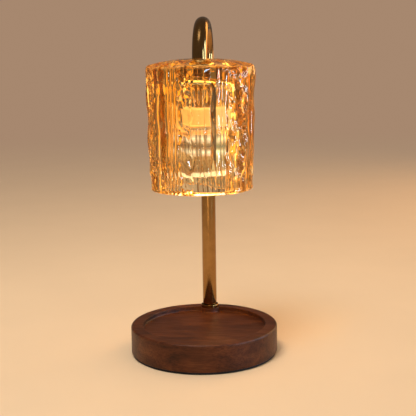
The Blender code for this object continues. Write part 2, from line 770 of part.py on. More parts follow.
def shade_angles():
    """Directions of the shade's points round one turn, crowded and spread so that no two flutes match."""
    count = PETAL_COUNT * FLUTES_PER_PETAL * SEGMENTS_PER_FLUTE
    angles = []
    for step in range(count):
        even = 2 * math.pi * step / count
        shift = sum(reach * math.sin(times * even + start) for times, reach, start in SPACING_WAVES)
        angles.append(even + shift)
    return angles


def petal(step):
    """0 on the ridge between two petals and 1 in the hollow of one."""
    per_petal = FLUTES_PER_PETAL * SEGMENTS_PER_FLUTE
    across = 2 * (step % per_petal) / per_petal - 1
    return 1 - across * across


def flute(step):
    """0 on the ridge between two flutes and 1 in the hollow of one."""
    across = 2 * (step % SEGMENTS_PER_FLUTE) / SEGMENTS_PER_FLUTE - 1
    return 1 - across * across


def ripple(angle, height):
    """Slow swell of the glass between 0 and 1, which runs slantwise up and round the shade."""
    rise = 2 * math.pi * height / RIPPLE_PITCH
    waves = [math.sin(times * angle + climb * rise + start) for times, climb, start in RIPPLE_WAVES]
    return (1 + sum(waves) / len(waves)) / 2


def shade_outline():
    """Outer section of the shade as (radius, height, share of the relief, share of the petals' dip)."""
    edge_top = GLASS_APEX - SHADE_DOME
    outline = []
    for step in range(EDGE_STEPS + 1):
        angle = math.pi / 2 * step / EDGE_STEPS
        radius = SHADE_MOUTH_RADIUS - SHADE_MOUTH_ROUND * (1 - math.sin(angle))
        height = GLASS_MOUTH + SHADE_MOUTH_ROUND * (1 - math.cos(angle))
        outline.append((radius, height, MOUTH_RELIEF + (1 - MOUTH_RELIEF) * step / EDGE_STEPS, 0.0))
    side_bottom = GLASS_MOUTH + SHADE_MOUTH_ROUND
    side_top = edge_top - SHADE_SHOULDER
    for step in range(1, SHADE_SIDE_STEPS + 1):
        share = step / SHADE_SIDE_STEPS
        radius = SHADE_MOUTH_RADIUS + (SHADE_TOP_RADIUS - SHADE_MOUTH_RADIUS) * share
        outline.append((radius, side_bottom + (side_top - side_bottom) * share, 1.0, 0.0))
    for step in range(1, SHOULDER_STEPS + 1):
        share = step / SHOULDER_STEPS
        angle = math.pi / 2 * share
        radius = SHADE_TOP_RADIUS - SHADE_SHOULDER * (1 - math.cos(angle))
        height = side_top + SHADE_SHOULDER * math.sin(angle)
        outline.append((radius, height, 1 - (1 - SHOULDER_RELIEF) * share, share))
    dome_radius = SHADE_TOP_RADIUS - SHADE_SHOULDER
    for share in DOME_SHARES:
        fading = (share - DOME_SHARES[-1]) / (1 - DOME_SHARES[-1])
        height = GLASS_APEX - SHADE_DOME * share**DOME_CURVE
        outline.append((dome_radius * share, height, SHOULDER_RELIEF * fading, fading))
    outline.append((SHADE_HOLE_RADIUS, GLASS_APEX, 0.0, 0.0))
    return outline


def make_glass_shade():
    """Thick glass block hung mouth down: pressed relief outside, a smooth tapered bore inside."""
    angles = shade_angles()

    def plain_ring(radius, height):
        return [(radius * math.cos(angle), radius * math.sin(angle), height) for angle in angles]

    rings = []
    for radius, height, relief, dip in shade_outline():
        ring = []
        for step, angle in enumerate(angles):
            hollow = PETAL_DEPTH * petal(step) + FLUTE_DEPTH * flute(step)
            hollow += RIPPLE_DEPTH * ripple(angle, height)
            reach = radius - relief * hollow
            level = height - dip * PETAL_DIP * petal(step)
            ring.append((reach * math.cos(angle), reach * math.sin(angle), level))
        rings.append(ring)
    inside = rounded(
        [
            (SHADE_HOLE_RADIUS, GLASS_CEILING),
            (CEILING_BORE_RADIUS, GLASS_CEILING, SHADE_CEILING_FILLET),
            (MOUTH_BORE_RADIUS, GLASS_MOUTH, SHADE_MOUTH_ROUND),
            (SHADE_MOUTH_RADIUS - SHADE_MOUTH_ROUND, GLASS_MOUTH),
        ],
        steps=BORE_STEPS,
        closed=False,
    )
    rings += [plain_ring(radius, height) for radius, height in inside[:-1]]
    loft("glass_shade", rings, "amber_glass", ring_shaped=True, sharp=25)


def make_shade_seat():
    """What the shade hangs on: a soft gasket on a brass disc, held up by a nut on the neck's stud."""
    bore = STUD_RADIUS + GAP
    gasket = washer_outline(bore, GASKET_RADIUS, GASKET_TOP - GASKET_THICKNESS, GASKET_TOP)
    turned("shade_gasket", gasket, "clear_silicone", CUP_SEGMENTS)
    disc = washer_outline(bore, DISC_RADIUS, DISC_TOP - DISC_THICKNESS, DISC_TOP)
    turned("seat_disc", disc, "turned_brass", CUP_SEGMENTS)
    make_stud("head_stud", TUBE_END, 1, HEAD_STUD_END, 0.0)
    make_nut("seat_nut", SEAT_NUT_TOP, 0.0)
    make_nut("stem_nut", STEM_NUT_TOP, 0.0)
    make_nut("cup_nut", CUP_NUT_TOP, 0.0)


def cup_section(inset):
    """Rounded shoulder of the cup's outside, or of its inside when inset by the wall."""
    middle = CUP_RADIUS - CUP_SHOULDER
    level = CUP_TOP - CUP_SHOULDER
    reach = CUP_SHOULDER - inset
    turns = [math.pi / 2 * step / CUP_SHOULDER_STEPS for step in range(CUP_SHOULDER_STEPS + 1)]
    return [(middle + reach * math.sin(turn), level + reach * math.cos(turn)) for turn in turns]


def make_socket_cup():
    """Enamelled cup pressed from sheet, which hides the lampholder and has a rolled lower edge."""
    edge = CUP_TOP - CUP_HEIGHT
    bead = CUP_RADIUS + CUP_ROLLED_EDGE
    outline = [(STUD_RADIUS + GAP, CUP_TOP)] + cup_section(0.0)
    outline += rounded(
        [
            (CUP_RADIUS, edge + 3 * CUP_ROLLED_EDGE),
            (bead, edge + 2 * CUP_ROLLED_EDGE, CUP_ROLLED_EDGE / 2),
            (bead, edge, CUP_ROLLED_EDGE / 2),
            (CUP_RADIUS - CUP_WALL, edge),
        ],
        steps=1,
        closed=False,
    )
    outline += cup_section(CUP_WALL)[::-1]
    outline.append((STUD_RADIUS + GAP, CUP_TOP - CUP_WALL))
    cup = turned("socket_cup", outline, "cream_enamel", CUP_SEGMENTS)
    for index, side_sign in ((1, -1), (2, 1)):
        place = (side_sign * HOLDER_SCREW_X, 0.0)
        cut(cup, screw_hole(f"cup_hole_cutter_{index}", place, CUP_TOP - CUP_WALL - THROUGH / 2))
        make_holder_screw(index, place)


def screw_hole(name, place, bottom):
    """Cutter for the hole of one of the lampholder's screws, from a height to above the cup."""
    return cylinder(
        name,
        HOLDER_SCREW_SHANK + GAP,
        bottom,
        CUP_TOP + THROUGH,
        segments=SCREW_SEGMENTS,
        centre=place,
    )


def make_holder_screw(index, place):
    """Small pan-head screw down through the cup's top into the lampholder."""
    seat = HOLDER_SCREW_SEAT
    outline = [
        (HOLDER_SCREW_SHANK, HOLDER_SCREW_END),
        (HOLDER_SCREW_SHANK, seat),
        (HOLDER_SCREW_HEAD, seat),
        (HOLDER_SCREW_HEAD, seat + HOLDER_SCREW_HEAD_SIDE),
        (HOLDER_SCREW_HEAD_TOP, seat + HOLDER_SCREW_HEAD_HEIGHT),
    ]
    upright(f"holder_screw_{index}", outline, "zinc_steel", place)


def arc_slot(half_width, start, end):
    """Outline of a slot bent round the bulb's axis at the pins' radius, with round ends."""
    middle = PIN_SPACING / 2

    def side(radius, first, last):
        turns = [first + (last - first) * step / SLOT_STEPS for step in range(SLOT_STEPS + 1)]
        return [(radius * math.cos(turn), radius * math.sin(turn)) for turn in turns]

    def round_end(at, first):
        turns = [first + math.pi * step / (SLOT_STEPS + 1) for step in range(1, SLOT_STEPS + 1)]
        x, y = middle * math.cos(at), middle * math.sin(at)
        return [(x + half_width * math.cos(turn), y + half_width * math.sin(turn)) for turn in turns]

    outline = side(middle + half_width, start, end) + round_end(end, end)
    return outline + side(middle - half_width, end, start) + round_end(start, start + math.pi)


def make_socket_body():
    """Ceramic lampholder. A pin enters a round hole and turns along a slot under its head's channel, and a
    pocket on top holds the cup's nut."""
    outline = rounded(
        [
            (HOLDER_RADIUS / 2, HOLDER_BOTTOM),
            (HOLDER_RADIUS, HOLDER_BOTTOM, HOLDER_EDGE),
            (HOLDER_RADIUS, HOLDER_TOP, HOLDER_EDGE),
            (HOLDER_RADIUS / 2, HOLDER_TOP),
        ],
        steps=EDGE_STEPS,
        closed=False,
    )
    holder = turned("socket_body", outline, "white_ceramic", CUP_SEGMENTS, bored=False)
    cut(holder, cylinder("cup_nut_cutter", NUT_POCKET_RADIUS, HOLDER_POCKET_FLOOR, HOLDER_TOP + THROUGH))
    lip_top = HOLDER_BOTTOM + HOLDER_LIP
    channel_top = PIN_TOP + PIN_ROOM
    twist = math.radians(TWIST_DEGREES)
    for index, locked in ((1, 0.0), (2, math.pi)):
        entry = locked - twist
        channel = prism(
            f"pin_channel_cutter_{index}",
            arc_slot(PIN_HEAD_RADIUS + PIN_ROOM, entry, locked),
            lip_top,
            channel_top,
        )
        cut(holder, channel)
        slot = prism(
            f"pin_slot_cutter_{index}",
            arc_slot(PIN_NECK_RADIUS + PIN_ROOM, entry, locked),
            HOLDER_BOTTOM - THROUGH,
            lip_top + PIN_ROOM,
        )
        cut(holder, slot)
        hole = cylinder(
            f"pin_entry_cutter_{index}",
            PIN_HEAD_RADIUS + PIN_ROOM / 2,
            HOLDER_BOTTOM - THROUGH,
            lip_top + PIN_ROOM,
            centre=(PIN_SPACING / 2 * math.cos(entry), PIN_SPACING / 2 * math.sin(entry)),
        )
        cut(holder, hole)
        place = (math.cos(locked) * HOLDER_SCREW_X, 0.0)
        cut(holder, screw_hole(f"holder_screw_cutter_{index}", place, HOLDER_SCREW_END - GAP))


def make_bulb_base():
    """Ceramic base of the bulb, bored for its two pins above and for the capsule below."""
    in_neck = BULB_NECK_RADIUS - BULB_WALL - GAP
    outline = rounded(
        [
            (in_neck / 2, BULB_BASE_BOTTOM),
            (in_neck, BULB_BASE_BOTTOM),
            (in_neck, BULB_NECK_TOP + GAP),
            (BULB_NECK_RADIUS, BULB_NECK_TOP + GAP),
            (BULB_BASE_TOP_RADIUS, BULB_BASE_TOP, BULB_BASE_EDGE_ROUND),
            (BULB_BASE_TOP_RADIUS / 2, BULB_BASE_TOP),
        ],
        closed=False,
    )
    base = turned("bulb_base", outline, "white_ceramic", CUP_SEGMENTS, bored=False)
    bore = cylinder(
        "capsule_bore_cutter",
        CAPSULE_RADIUS + GAP,
        BULB_BASE_BOTTOM - THROUGH,
        BULB_BASE_BOTTOM + CAPSULE_IN_BASE,
    )
    cut(base, bore)
    for index, side_sign in ((1, 1), (2, -1)):
        place = (side_sign * PIN_SPACING / 2, 0.0)
        hole = cylinder(
            f"pin_bore_cutter_{index}",
            PIN_NECK_RADIUS + GAP,
            BULB_BASE_TOP - PIN_IN_BASE - GAP,
            BULB_BASE_TOP + THROUGH,
            segments=SCREW_SEGMENTS,
            centre=place,
        )
        cut(base, hole)
        outline = rounded(
            [
                (PIN_NECK_RADIUS, BULB_BASE_TOP - PIN_IN_BASE),
                (PIN_NECK_RADIUS, PIN_HEAD_BOTTOM),
                (PIN_HEAD_RADIUS, PIN_HEAD_BOTTOM),
                (PIN_HEAD_RADIUS, PIN_TOP, PIN_EDGE_ROUND),
                (PIN_HEAD_RADIUS / 2, PIN_TOP),
            ],
            steps=EDGE_STEPS,
            closed=False,
        )
        upright(f"bulb_pin_{index}", outline, "tinned_copper", place)


def bowl_section(inset):
    """The reflector's outside, or its inside when inset by the wall, from its neck down to its rim."""
    neck = BULB_NECK_RADIUS - inset
    rim = BULB_RADIUS - inset
    points = [(neck, BULB_NECK_TOP), (neck, BULB_BOWL_TOP)]
    for step in range(1, BOWL_STEPS + 1):
        share = step / BOWL_STEPS
        radius = neck + (rim - neck) * math.sin(math.pi / 2 * share)
        points.append((radius, BULB_BOWL_TOP - BULB_BOWL * share**BOWL_CURVE))
    return points


def make_bulb_front():
    """Reflector bowl, front lens let into its rim, and the capsule that glows on its axis."""
    lens_seat = BULB_FACE + LENS_THICKNESS + 2 * GAP
    inner_rim = BULB_RADIUS - BULB_WALL
    outline = bowl_section(0.0) + [(BULB_RADIUS, BULB_FACE), (inner_rim, BULB_FACE), (inner_rim, lens_seat)]
    ledge = inner_rim - LENS_LEDGE
    inside = [point for point in bowl_section(BULB_WALL) if point[0] < ledge - GAP]
    outline += [(ledge, lens_seat), (ledge, lens_seat + LENS_LEDGE)] + inside[::-1]
    turned("bulb_reflector", outline, "mirror_coating", CUP_SEGMENTS)
    lens_outline = rounded(
        [
            (inner_rim / 2, BULB_FACE - GAP),
            (inner_rim - GAP, BULB_FACE + GAP, LENS_EDGE_ROUND),
            (inner_rim - GAP, lens_seat - GAP),
            (inner_rim / 2, lens_seat - GAP),
        ],
        steps=EDGE_STEPS,
        closed=False,
    )
    turned("bulb_lens", lens_outline, "clear_glass", CUP_SEGMENTS, bored=False)
    capsule_top = BULB_BASE_BOTTOM + CAPSULE_IN_BASE - GAP
    capsule_outline = rounded(
        [
            (CAPSULE_RADIUS / 3, capsule_top),
            (CAPSULE_RADIUS, capsule_top),
            (CAPSULE_RADIUS, capsule_top - CAPSULE_LENGTH, CAPSULE_TIP_ROUND),
            (CAPSULE_RADIUS / 3, capsule_top - CAPSULE_LENGTH),
        ],
        closed=False,
    )
    turned("bulb_capsule", capsule_outline, "clear_glass", bored=False)


def make_on_axis(name, makers):
    """Runs the makers, and hangs what they make on an empty that stands on the shade's axis."""
    axis = bpy.data.objects.new(name, None)
    axis.location = (0.0, SHADE_Y, 0.0)
    earlier = set(bpy.data.objects)
    bpy.context.scene.collection.objects.link(axis)
    for make in makers:
        make()
    for made in bpy.data.objects:
        if made not in earlier:
            made.parent = axis


def main():
    clear_scene()
    make_base_pad()
    make_wooden_base()
    make_bottom_cover()
    make_ballast_weight()
    make_terminal_block()
    make_cord_grommet()
    make_foot()
    make_neck_tube()
    make_neck_lead()
    make_on_axis(
        "shade_axis",
        [make_glass_shade, make_shade_seat, make_socket_cup, make_socket_body],
    )
    make_on_axis("bulb_twist_axis", [make_bulb_base, make_bulb_front])


main()
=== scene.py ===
"""Looks of a candle warmer lamp: a turned walnut base, a bent bronze neck and a thick pressed-glass shade
round a lit reflector bulb.

Sizes are in metres and +Z is up. The origin is on the surface that the lamp stands on, under the centre of
the round base, and the front is -Y. The neck stands at the back, and the shade, lampholder and bulb hang on
an upright axis a little in front of the origin.
"""

import logging
import math
from dataclasses import dataclass
from enum import Enum

import bpy
import numpy as np
from mathutils import Matrix, Vector


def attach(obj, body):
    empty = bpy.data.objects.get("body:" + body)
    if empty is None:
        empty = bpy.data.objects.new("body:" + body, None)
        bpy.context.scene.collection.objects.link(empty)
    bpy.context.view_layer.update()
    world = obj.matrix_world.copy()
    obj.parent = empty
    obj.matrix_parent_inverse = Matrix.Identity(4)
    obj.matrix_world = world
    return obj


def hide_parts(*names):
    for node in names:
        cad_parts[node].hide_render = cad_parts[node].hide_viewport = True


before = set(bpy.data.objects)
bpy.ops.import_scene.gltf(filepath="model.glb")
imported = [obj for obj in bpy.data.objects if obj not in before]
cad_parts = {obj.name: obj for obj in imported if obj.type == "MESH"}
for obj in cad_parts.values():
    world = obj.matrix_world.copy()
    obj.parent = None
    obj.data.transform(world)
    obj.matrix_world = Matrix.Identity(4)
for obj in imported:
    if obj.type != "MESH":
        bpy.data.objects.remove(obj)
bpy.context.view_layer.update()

LOG = logging.getLogger("lamp")
MM = 0.001
TURN = 2 * math.pi

Colour = tuple[float, float, float]
Corner = tuple[float, float, float]
Range = tuple[float, float]
Piece = bpy.types.Object
Material = bpy.types.Material
Socket = bpy.types.NodeSocket


class Body(Enum):
    """The two bodies that pieces ride on."""

    LAMP = "lamp"
    BULB = "bulb"


class Slot(Enum):
    """Names of the record's material slots."""

    WALNUT = "walnut"
    FOAM = "black_foam"
    BRONZE = "antique_brass"
    BRASS = "turned_brass"
    GLASS = "amber_glass"
    SILICONE = "clear_silicone"
    ENAMEL = "cream_enamel"
    MIRROR = "mirror_coating"
    LIT_GLASS = "lit_glass"


class Duty(Enum):
    """What a lamp is for, as whether it lights matt surfaces, shows in gloss and shows through glass."""

    ALL = (True, True, True)
    MATT = (True, False, False)
    GLOSS = (False, True, False)
    GLASS = (False, False, True)


class Blend(Enum):
    """Ways in which two colours are put together."""

    MIX = "MIX"
    MULTIPLY = "MULTIPLY"


# Surfaces on parameter grids


def side_by_side(*parts: object) -> np.ndarray:
    """Stacks numbers and arrays of matching shapes along a new last axis."""
    return np.stack(np.broadcast_arrays(*parts), axis=-1)


def turns(columns: int) -> np.ndarray:
    """Even directions round one turn."""
    return TURN * np.arange(columns) / columns


def ring(radius: object, turn: np.ndarray, height: object, centre_y: float = 0.0) -> np.ndarray:
    """Points at (radius cos t, centre + radius sin t, height)."""
    return side_by_side(radius * np.cos(turn), centre_y + radius * np.sin(turn), height)


def turned(outline: np.ndarray, columns: int, centre_y: float = 0.0) -> np.ndarray:
    """Turns an outline's points, (radius, height), about an upright axis into a ring each."""
    return ring(outline[:, :1], turns(columns), outline[:, 1:], centre_y)


def grid_quads(rows: int, columns: int, rows_meet: bool) -> np.ndarray:
    """Corners of the quads of a grid whose columns run round and meet.

    Args:
        rows: Rings in the grid.
        columns: Points in each ring.
        rows_meet: Whether the last ring joins the first.

    Returns:
        Array of quads by four, each number a point's place in the grid read row by row.
    """
    row = np.arange(rows if rows_meet else rows - 1)[:, None]
    column = np.arange(columns)[None, :]
    after, above = (column + 1) % columns, (row + 1) % rows
    near, far = row * columns, above * columns
    return side_by_side(near + column, near + after, far + after, far + column).reshape(-1, 4)


def put(name: str, data: bpy.types.ID) -> Piece:
    """Puts a mesh, a light or a camera into the scene as an object.

    Args:
        name: The object's name.
        data: The mesh, the light or the camera.

    Returns:
        The new object.
    """
    thing = bpy.data.objects.new(name, data)
    bpy.context.scene.collection.objects.link(thing)
    return thing


def crisp(mesh: bpy.types.Mesh, sharp: float) -> None:
    """Shades a mesh smooth but for edges between faces past an angle in degrees."""
    mesh.shade_smooth()
    mesh.set_sharp_from_angle(angle=math.radians(sharp))


def skin(name: str, rings: np.ndarray, rows_meet: bool, sharp: float = 35.0) -> Piece:
    """Skins a stack of rings into a closed piece with its faces outward: the sum of each triangle's flux, six
    times the volume inside, is below 0 where they have to be turned.

    Args:
        name: The piece's name.
        rings: Rows by columns by three. Columns run round and meet.
        rows_meet: Whether the last ring joins the first. Otherwise a fan closes each end.
        sharp: Angle in degrees between faces past which an edge stays crisp.

    Returns:
        The new object.
    """
    rows, columns = rings.shape[:2]
    points = rings.reshape(-1, 3)
    quads = grid_quads(rows, columns, rows_meet)
    fans = np.empty((0, 3), int)
    if not rows_meet:
        step = np.arange(columns)
        after, last = (step + 1) % columns, (rows - 1) * columns
        foot = side_by_side(len(points), after, step)
        fans = np.concatenate([foot, side_by_side(len(points) + 1, last + step, last + after)])
        points = np.concatenate([points, rings[:1].mean(axis=1), rings[-1:].mean(axis=1)])
    triangles = np.concatenate([quads[:, [0, 1, 2]], quads[:, [0, 2, 3]], fans])
    first, second, third = (points[triangles[:, corner]] for corner in range(3))
    if np.sum(first * np.cross(second, third)) < 0:
        quads, fans = quads[:, ::-1], fans[:, ::-1]
    mesh = bpy.data.meshes.new(name)
    mesh.from_pydata(points.tolist(), [], quads.tolist() + fans.tolist())
    mesh.validate()
    crisp(mesh, sharp)
    return put(name, mesh)


def rounded(corners: list[Corner], steps: int = 6) -> np.ndarray:
    """Turns corners into a closed outline, where each corner with a rounding becomes an arc that touches both
    its sides: its centre lies on the corner's bisector, and its reach along a side is the radius over the
    tangent of half the angle.

    Args:
        corners: (radius, height, rounding) of each corner.
        steps: Faces along each arc.

    Returns:
        Points by two, (radius, height).
    """
    outline = []
    places = np.array([corner[:2] for corner in corners])
    for index, (_, _, rounding) in enumerate(corners):
        corner = places[index]
        if rounding <= 0:
            outline.append(corner[None, :])
            continue
        back = places[index - 1] - corner
        ahead = places[(index + 1) % len(corners)] - corner
        back_length, ahead_length = np.linalg.norm(back), np.linalg.norm(ahead)
        back, ahead = back / back_length, ahead / ahead_length
        half = math.acos(float(np.clip(back @ ahead, -1, 1))) / 2
        reach = min(rounding / math.tan(half), 0.49 * back_length, 0.49 * ahead_length)
        radius = reach * math.tan(half)
        centre = corner + (back + ahead) / np.linalg.norm(back + ahead) * radius / math.sin(half)
        start, end = corner + back * reach - centre, corner + ahead * reach - centre
        first = math.atan2(start[1], start[0])
        sweep = (math.atan2(end[1], end[0]) - first + math.pi) % TURN - math.pi
        angle = first + sweep * np.linspace(0, 1, steps + 1)
        outline.append(centre + radius * side_by_side(np.cos(angle), np.sin(angle)))
    return np.concatenate(outline)


def flat_ring(inner: float, outer: float, heights: Range, rounds: tuple, steps: int = 6) -> np.ndarray:
    """Section of a flat ring.

    Args:
        inner: Its inner radius.
        outer: Its outer radius.
        heights: Its lower and upper face.
        rounds: Roundings of its corners, from the lower inner one to the lower outer one and on round.
        steps: Faces along each rounding.

    Returns:
        Points by two, (radius, height).
    """
    low, high = heights
    places = ((inner, low), (outer, low), (outer, high), (inner, high))
    return rounded([(*place, rounding) for place, rounding in zip(places, rounds)], steps)


def finer(outline: np.ndarray, longest: float, closed: bool = False) -> np.ndarray:
    """Adds evenly spaced points along an outline's long sides.

    Args:
        outline: Points by two.
        longest: Longest side that is left.
        closed: Whether the outline's last point joins its first.

    Returns:
        Points by two.
    """
    ends = np.roll(outline, -1, axis=0) if closed else outline[1:]
    runs = [
        start + (end - start) * np.arange(count)[:, None] / count
        for start, end in zip(outline, ends)
        for count in [max(1, math.ceil(float(np.linalg.norm(end - start)) / longest))]
    ]
    return np.concatenate(runs if closed else runs + [outline[-1:]])


def carve(piece: Piece, cutter: Piece, sharp: float) -> None:
    """Takes a cutter's shape out of a piece's mesh, and removes the cutter.

    Args:
        piece: The piece.
        cutter: What is taken out of it.
        sharp: Angle in degrees between faces past which an edge stays crisp.
    """
    modifier = piece.modifiers.new("carve", "BOOLEAN")
    modifier.operation, modifier.solver, modifier.object = "DIFFERENCE", "EXACT", cutter
    bpy.context.view_layer.update()
    mesh = bpy.data.meshes.new_from_object(piece.evaluated_get(bpy.context.evaluated_depsgraph_get()))
    piece.modifiers.clear()
    piece.data = mesh
    mesh.name = piece.name
    crisp(mesh, sharp)
    bpy.data.objects.remove(cutter, do_unlink=True)


def smooth_step(low: float, high: float, value: np.ndarray) -> np.ndarray:
    """Climbs from 0 at low to 1 at high along 3 s squared less 2 s cubed."""
    share = np.clip((value - low) / (high - low), 0, 1)
    return share * share * (3 - 2 * share)


# Finishes


class Nodes:
    """Nodes of a finish or of the world, written from where a point lies to how it looks."""

    def __init__(self, tree: bpy.types.NodeTree, space: str) -> None:
        """Starts a tree's nodes with the place of a point, in the coordinates named by the space."""
        self.tree = tree
        self.here = self.node("ShaderNodeTexCoord").outputs[space]

    def feed(self, socket: Socket, value: object) -> None:
        """Links a socket to another one, or sets its plain value.

        Args:
            socket: The input to feed.
            value: A socket, a number, a colour or a place.
        """
        if isinstance(value, Socket):
            self.tree.links.new(value, socket)
        else:
            socket.default_value = (*value, 1.0) if socket.type == "RGBA" else value

    def node(self, kind: str, **inputs: object) -> bpy.types.Node:
        """Adds a node and feeds its inputs.

        Args:
            kind: The node's kind.
            inputs: What is fed to the inputs, which are named with _ for a space.

        Returns:
            The node.
        """
        node = self.tree.nodes.new(kind)
        for name, value in inputs.items():
            self.feed(node.inputs[name.replace("_", " ")], value)
        return node

    def place(self, scale: tuple = (1, 1, 1), turn: tuple = (0, 0, 0), shift: tuple = (0, 0, 0)) -> Socket:
        """A point's place, scaled, turned (in degrees) and shifted along each axis."""
        inputs = {"Location": shift, "Rotation": [math.radians(angle) for angle in turn], "Scale": scale}
        return self.node("ShaderNodeMapping", Vector=self.here, **inputs).outputs["Vector"]

    def noise(
        self, place: Socket, scale: float, detail: float = 3, rough: float = 0.5, bent: float = 0
    ) -> Socket:
        """Clouds between 0 and 1, so many to the metre, with finer layers of some strength, and stirred."""
        inputs = {"Vector": place, "Scale": scale, "Detail": detail, "Roughness": rough, "Distortion": bent}
        return self.node("ShaderNodeTexNoise", **inputs).outputs["Fac"]

    def cells(self, place: Socket, scale: float) -> Socket:
        """Distance to the nearest of many scattered places, with so many to the metre."""
        return self.node("ShaderNodeTexVoronoi", Vector=place, Scale=scale).outputs["Distance"]

    def part_of(self, place: Socket, axis: str) -> Socket:
        """One of a place's three numbers, named X, Y or Z."""
        return self.node("ShaderNodeSeparateXYZ", Vector=place).outputs[axis]

    def reach(self) -> Socket:
        """Distance of a point from the Z axis.

        Returns:
            The distance.
        """
        length = self.node("ShaderNodeVectorMath")
        length.operation = "LENGTH"
        self.feed(length.inputs[0], self.place((1, 1, 0)))
        return length.outputs["Value"]

    def maths(self, operation: str, *values: object) -> Socket:
        """Puts numbers together.

        Args:
            operation: How they are put together.
            values: The numbers.

        Returns:
            The result.
        """
        node = self.node("ShaderNodeMath")
        node.operation = operation
        for socket, value in zip(node.inputs, values):
            self.feed(socket, value)
        return node.outputs["Value"]

    def between(self, value: Socket, low: float, high: float, to_low: float, to_high: float) -> Socket:
        """Maps a number from one range to another and stops at its ends."""
        ends = {"From Min": low, "From Max": high, "To Min": to_low, "To Max": to_high}
        return self.node("ShaderNodeMapRange", Value=value, **ends).outputs["Result"]

    def ramp(self, value: Socket, *stops: tuple[float, Colour]) -> Socket:
        """Colours along a number from 0 to 1.

        Args:
            value: The number.
            stops: (place, colour) of each stop, in order.

        Returns:
            The colour at the number.
        """
        node = self.node("ShaderNodeValToRGB", Fac=value)
        elements = node.color_ramp.elements
        while len(elements) < len(stops):
            elements.new(1.0)
        for element, (place, colour) in zip(elements, stops):
            element.position, element.color = place, (*colour, 1.0)
        return node.outputs["Color"]

    def mix(self, share: object, first: object, second: object, blend: Blend = Blend.MIX) -> Socket:
        """Two colours put together.

        Args:
            share: How much of the second there is.
            first: The first colour.
            second: The second colour.
            blend: The way in which they meet.

        Returns:
            The colour.
        """
        node = self.node("ShaderNodeMix")
        node.data_type, node.blend_type = "RGBA", blend.value
        shown = [socket for socket in node.inputs if socket.enabled]
        for socket, value in zip(shown, (share, first, second)):
            self.feed(socket, value)
        return next(socket for socket in node.outputs if socket.enabled)

    def relief(self, height: Socket, depth: float, strength: float) -> Socket:
        """Shading of a fine relief: its height from 0 to 1, its depth in metres and how much shows."""
        return self.node("ShaderNodeBump", Height=height, Distance=depth, Strength=strength).outputs["Normal"]

    def ray(self, kind: str) -> Socket:
        """Whether a ray is of a kind."""
        return self.node("ShaderNodeLightPath").outputs[kind]

    def choose(self, share: Socket, first: bpy.types.Node, second: bpy.types.Node) -> bpy.types.Node:
        """One shader that another one takes over from by a share.

        Args:
            share: How much of the second there is.
            first: The first shader.
            second: The second shader.

        Returns:
            The shader.
        """
        choice = self.node("ShaderNodeMixShader")
        for socket, value in zip(choice.inputs, (share, first.outputs[0], second.outputs[0])):
            self.feed(socket, value)
        return choice


class Recipe(Nodes):
    """Nodes of one finish, round a Principled shader."""

    def __init__(self, name: str) -> None:
        """Starts a material.

        Args:
            name: The material's name.
        """
        self.material = bpy.data.materials.new(name)
        self.material.use_nodes = True
        super().__init__(self.material.node_tree, "Object")
        self.shader = self.tree.nodes["Principled BSDF"]
        self.output = self.tree.nodes["Material Output"]

    def shade(self, **values: object) -> None:
        """Feeds the shader's sockets, named with _ for a space."""
        for name, value in values.items():
            self.feed(self.shader.inputs[name.replace("_", " ")], value)


@dataclass(frozen=True)
class Walnut:
    """Oiled dark walnut, cut with its grain along X."""

    dark: Colour = (0.031, 0.0075, 0.0022)
    middle: Colour = (0.086, 0.0215, 0.0058)
    light: Colour = (0.165, 0.048, 0.013)
    rough: Range = (0.36, 0.52)
    pore_depth: float = 0.12 * MM

    def make(self) -> Material:
        """Long bent clouds for the growth bands, thin streaks for pores and broad blotches of the oil.

        Returns:
            The material.
        """
        recipe = Recipe("oiled_walnut")
        bands = recipe.noise(recipe.place((0.16, 1.0, 1.0), (0, 6, 9)), 62, 6, 0.58, 1.6)
        streaks = recipe.noise(recipe.place((0.05, 1.0, 1.0), (0, 5, 8)), 900, 3, 0.65)
        blotches = recipe.noise(recipe.place((0.6, 1.0, 1.3)), 26, 3, 0.55, 0.6)
        tone = recipe.maths("MULTIPLY_ADD", bands, 0.62, recipe.maths("MULTIPLY", blotches, 0.46))
        wood = recipe.ramp(tone, (0.34, self.dark), (0.54, self.middle), (0.74, self.light))
        pores = recipe.between(streaks, 0.36, 0.56, 0.52, 1.08)
        recipe.shade(
            Base_Color=recipe.mix(0.85, wood, pores, Blend.MULTIPLY),
            Roughness=recipe.between(streaks, 0.3, 0.7, self.rough[1], self.rough[0]),
            Specular_IOR_Level=0.22,
            Coat_Weight=0.04,
            Coat_Roughness=0.28,
            Normal=recipe.relief(streaks, self.pore_depth, 0.35),
        )
        return recipe.material


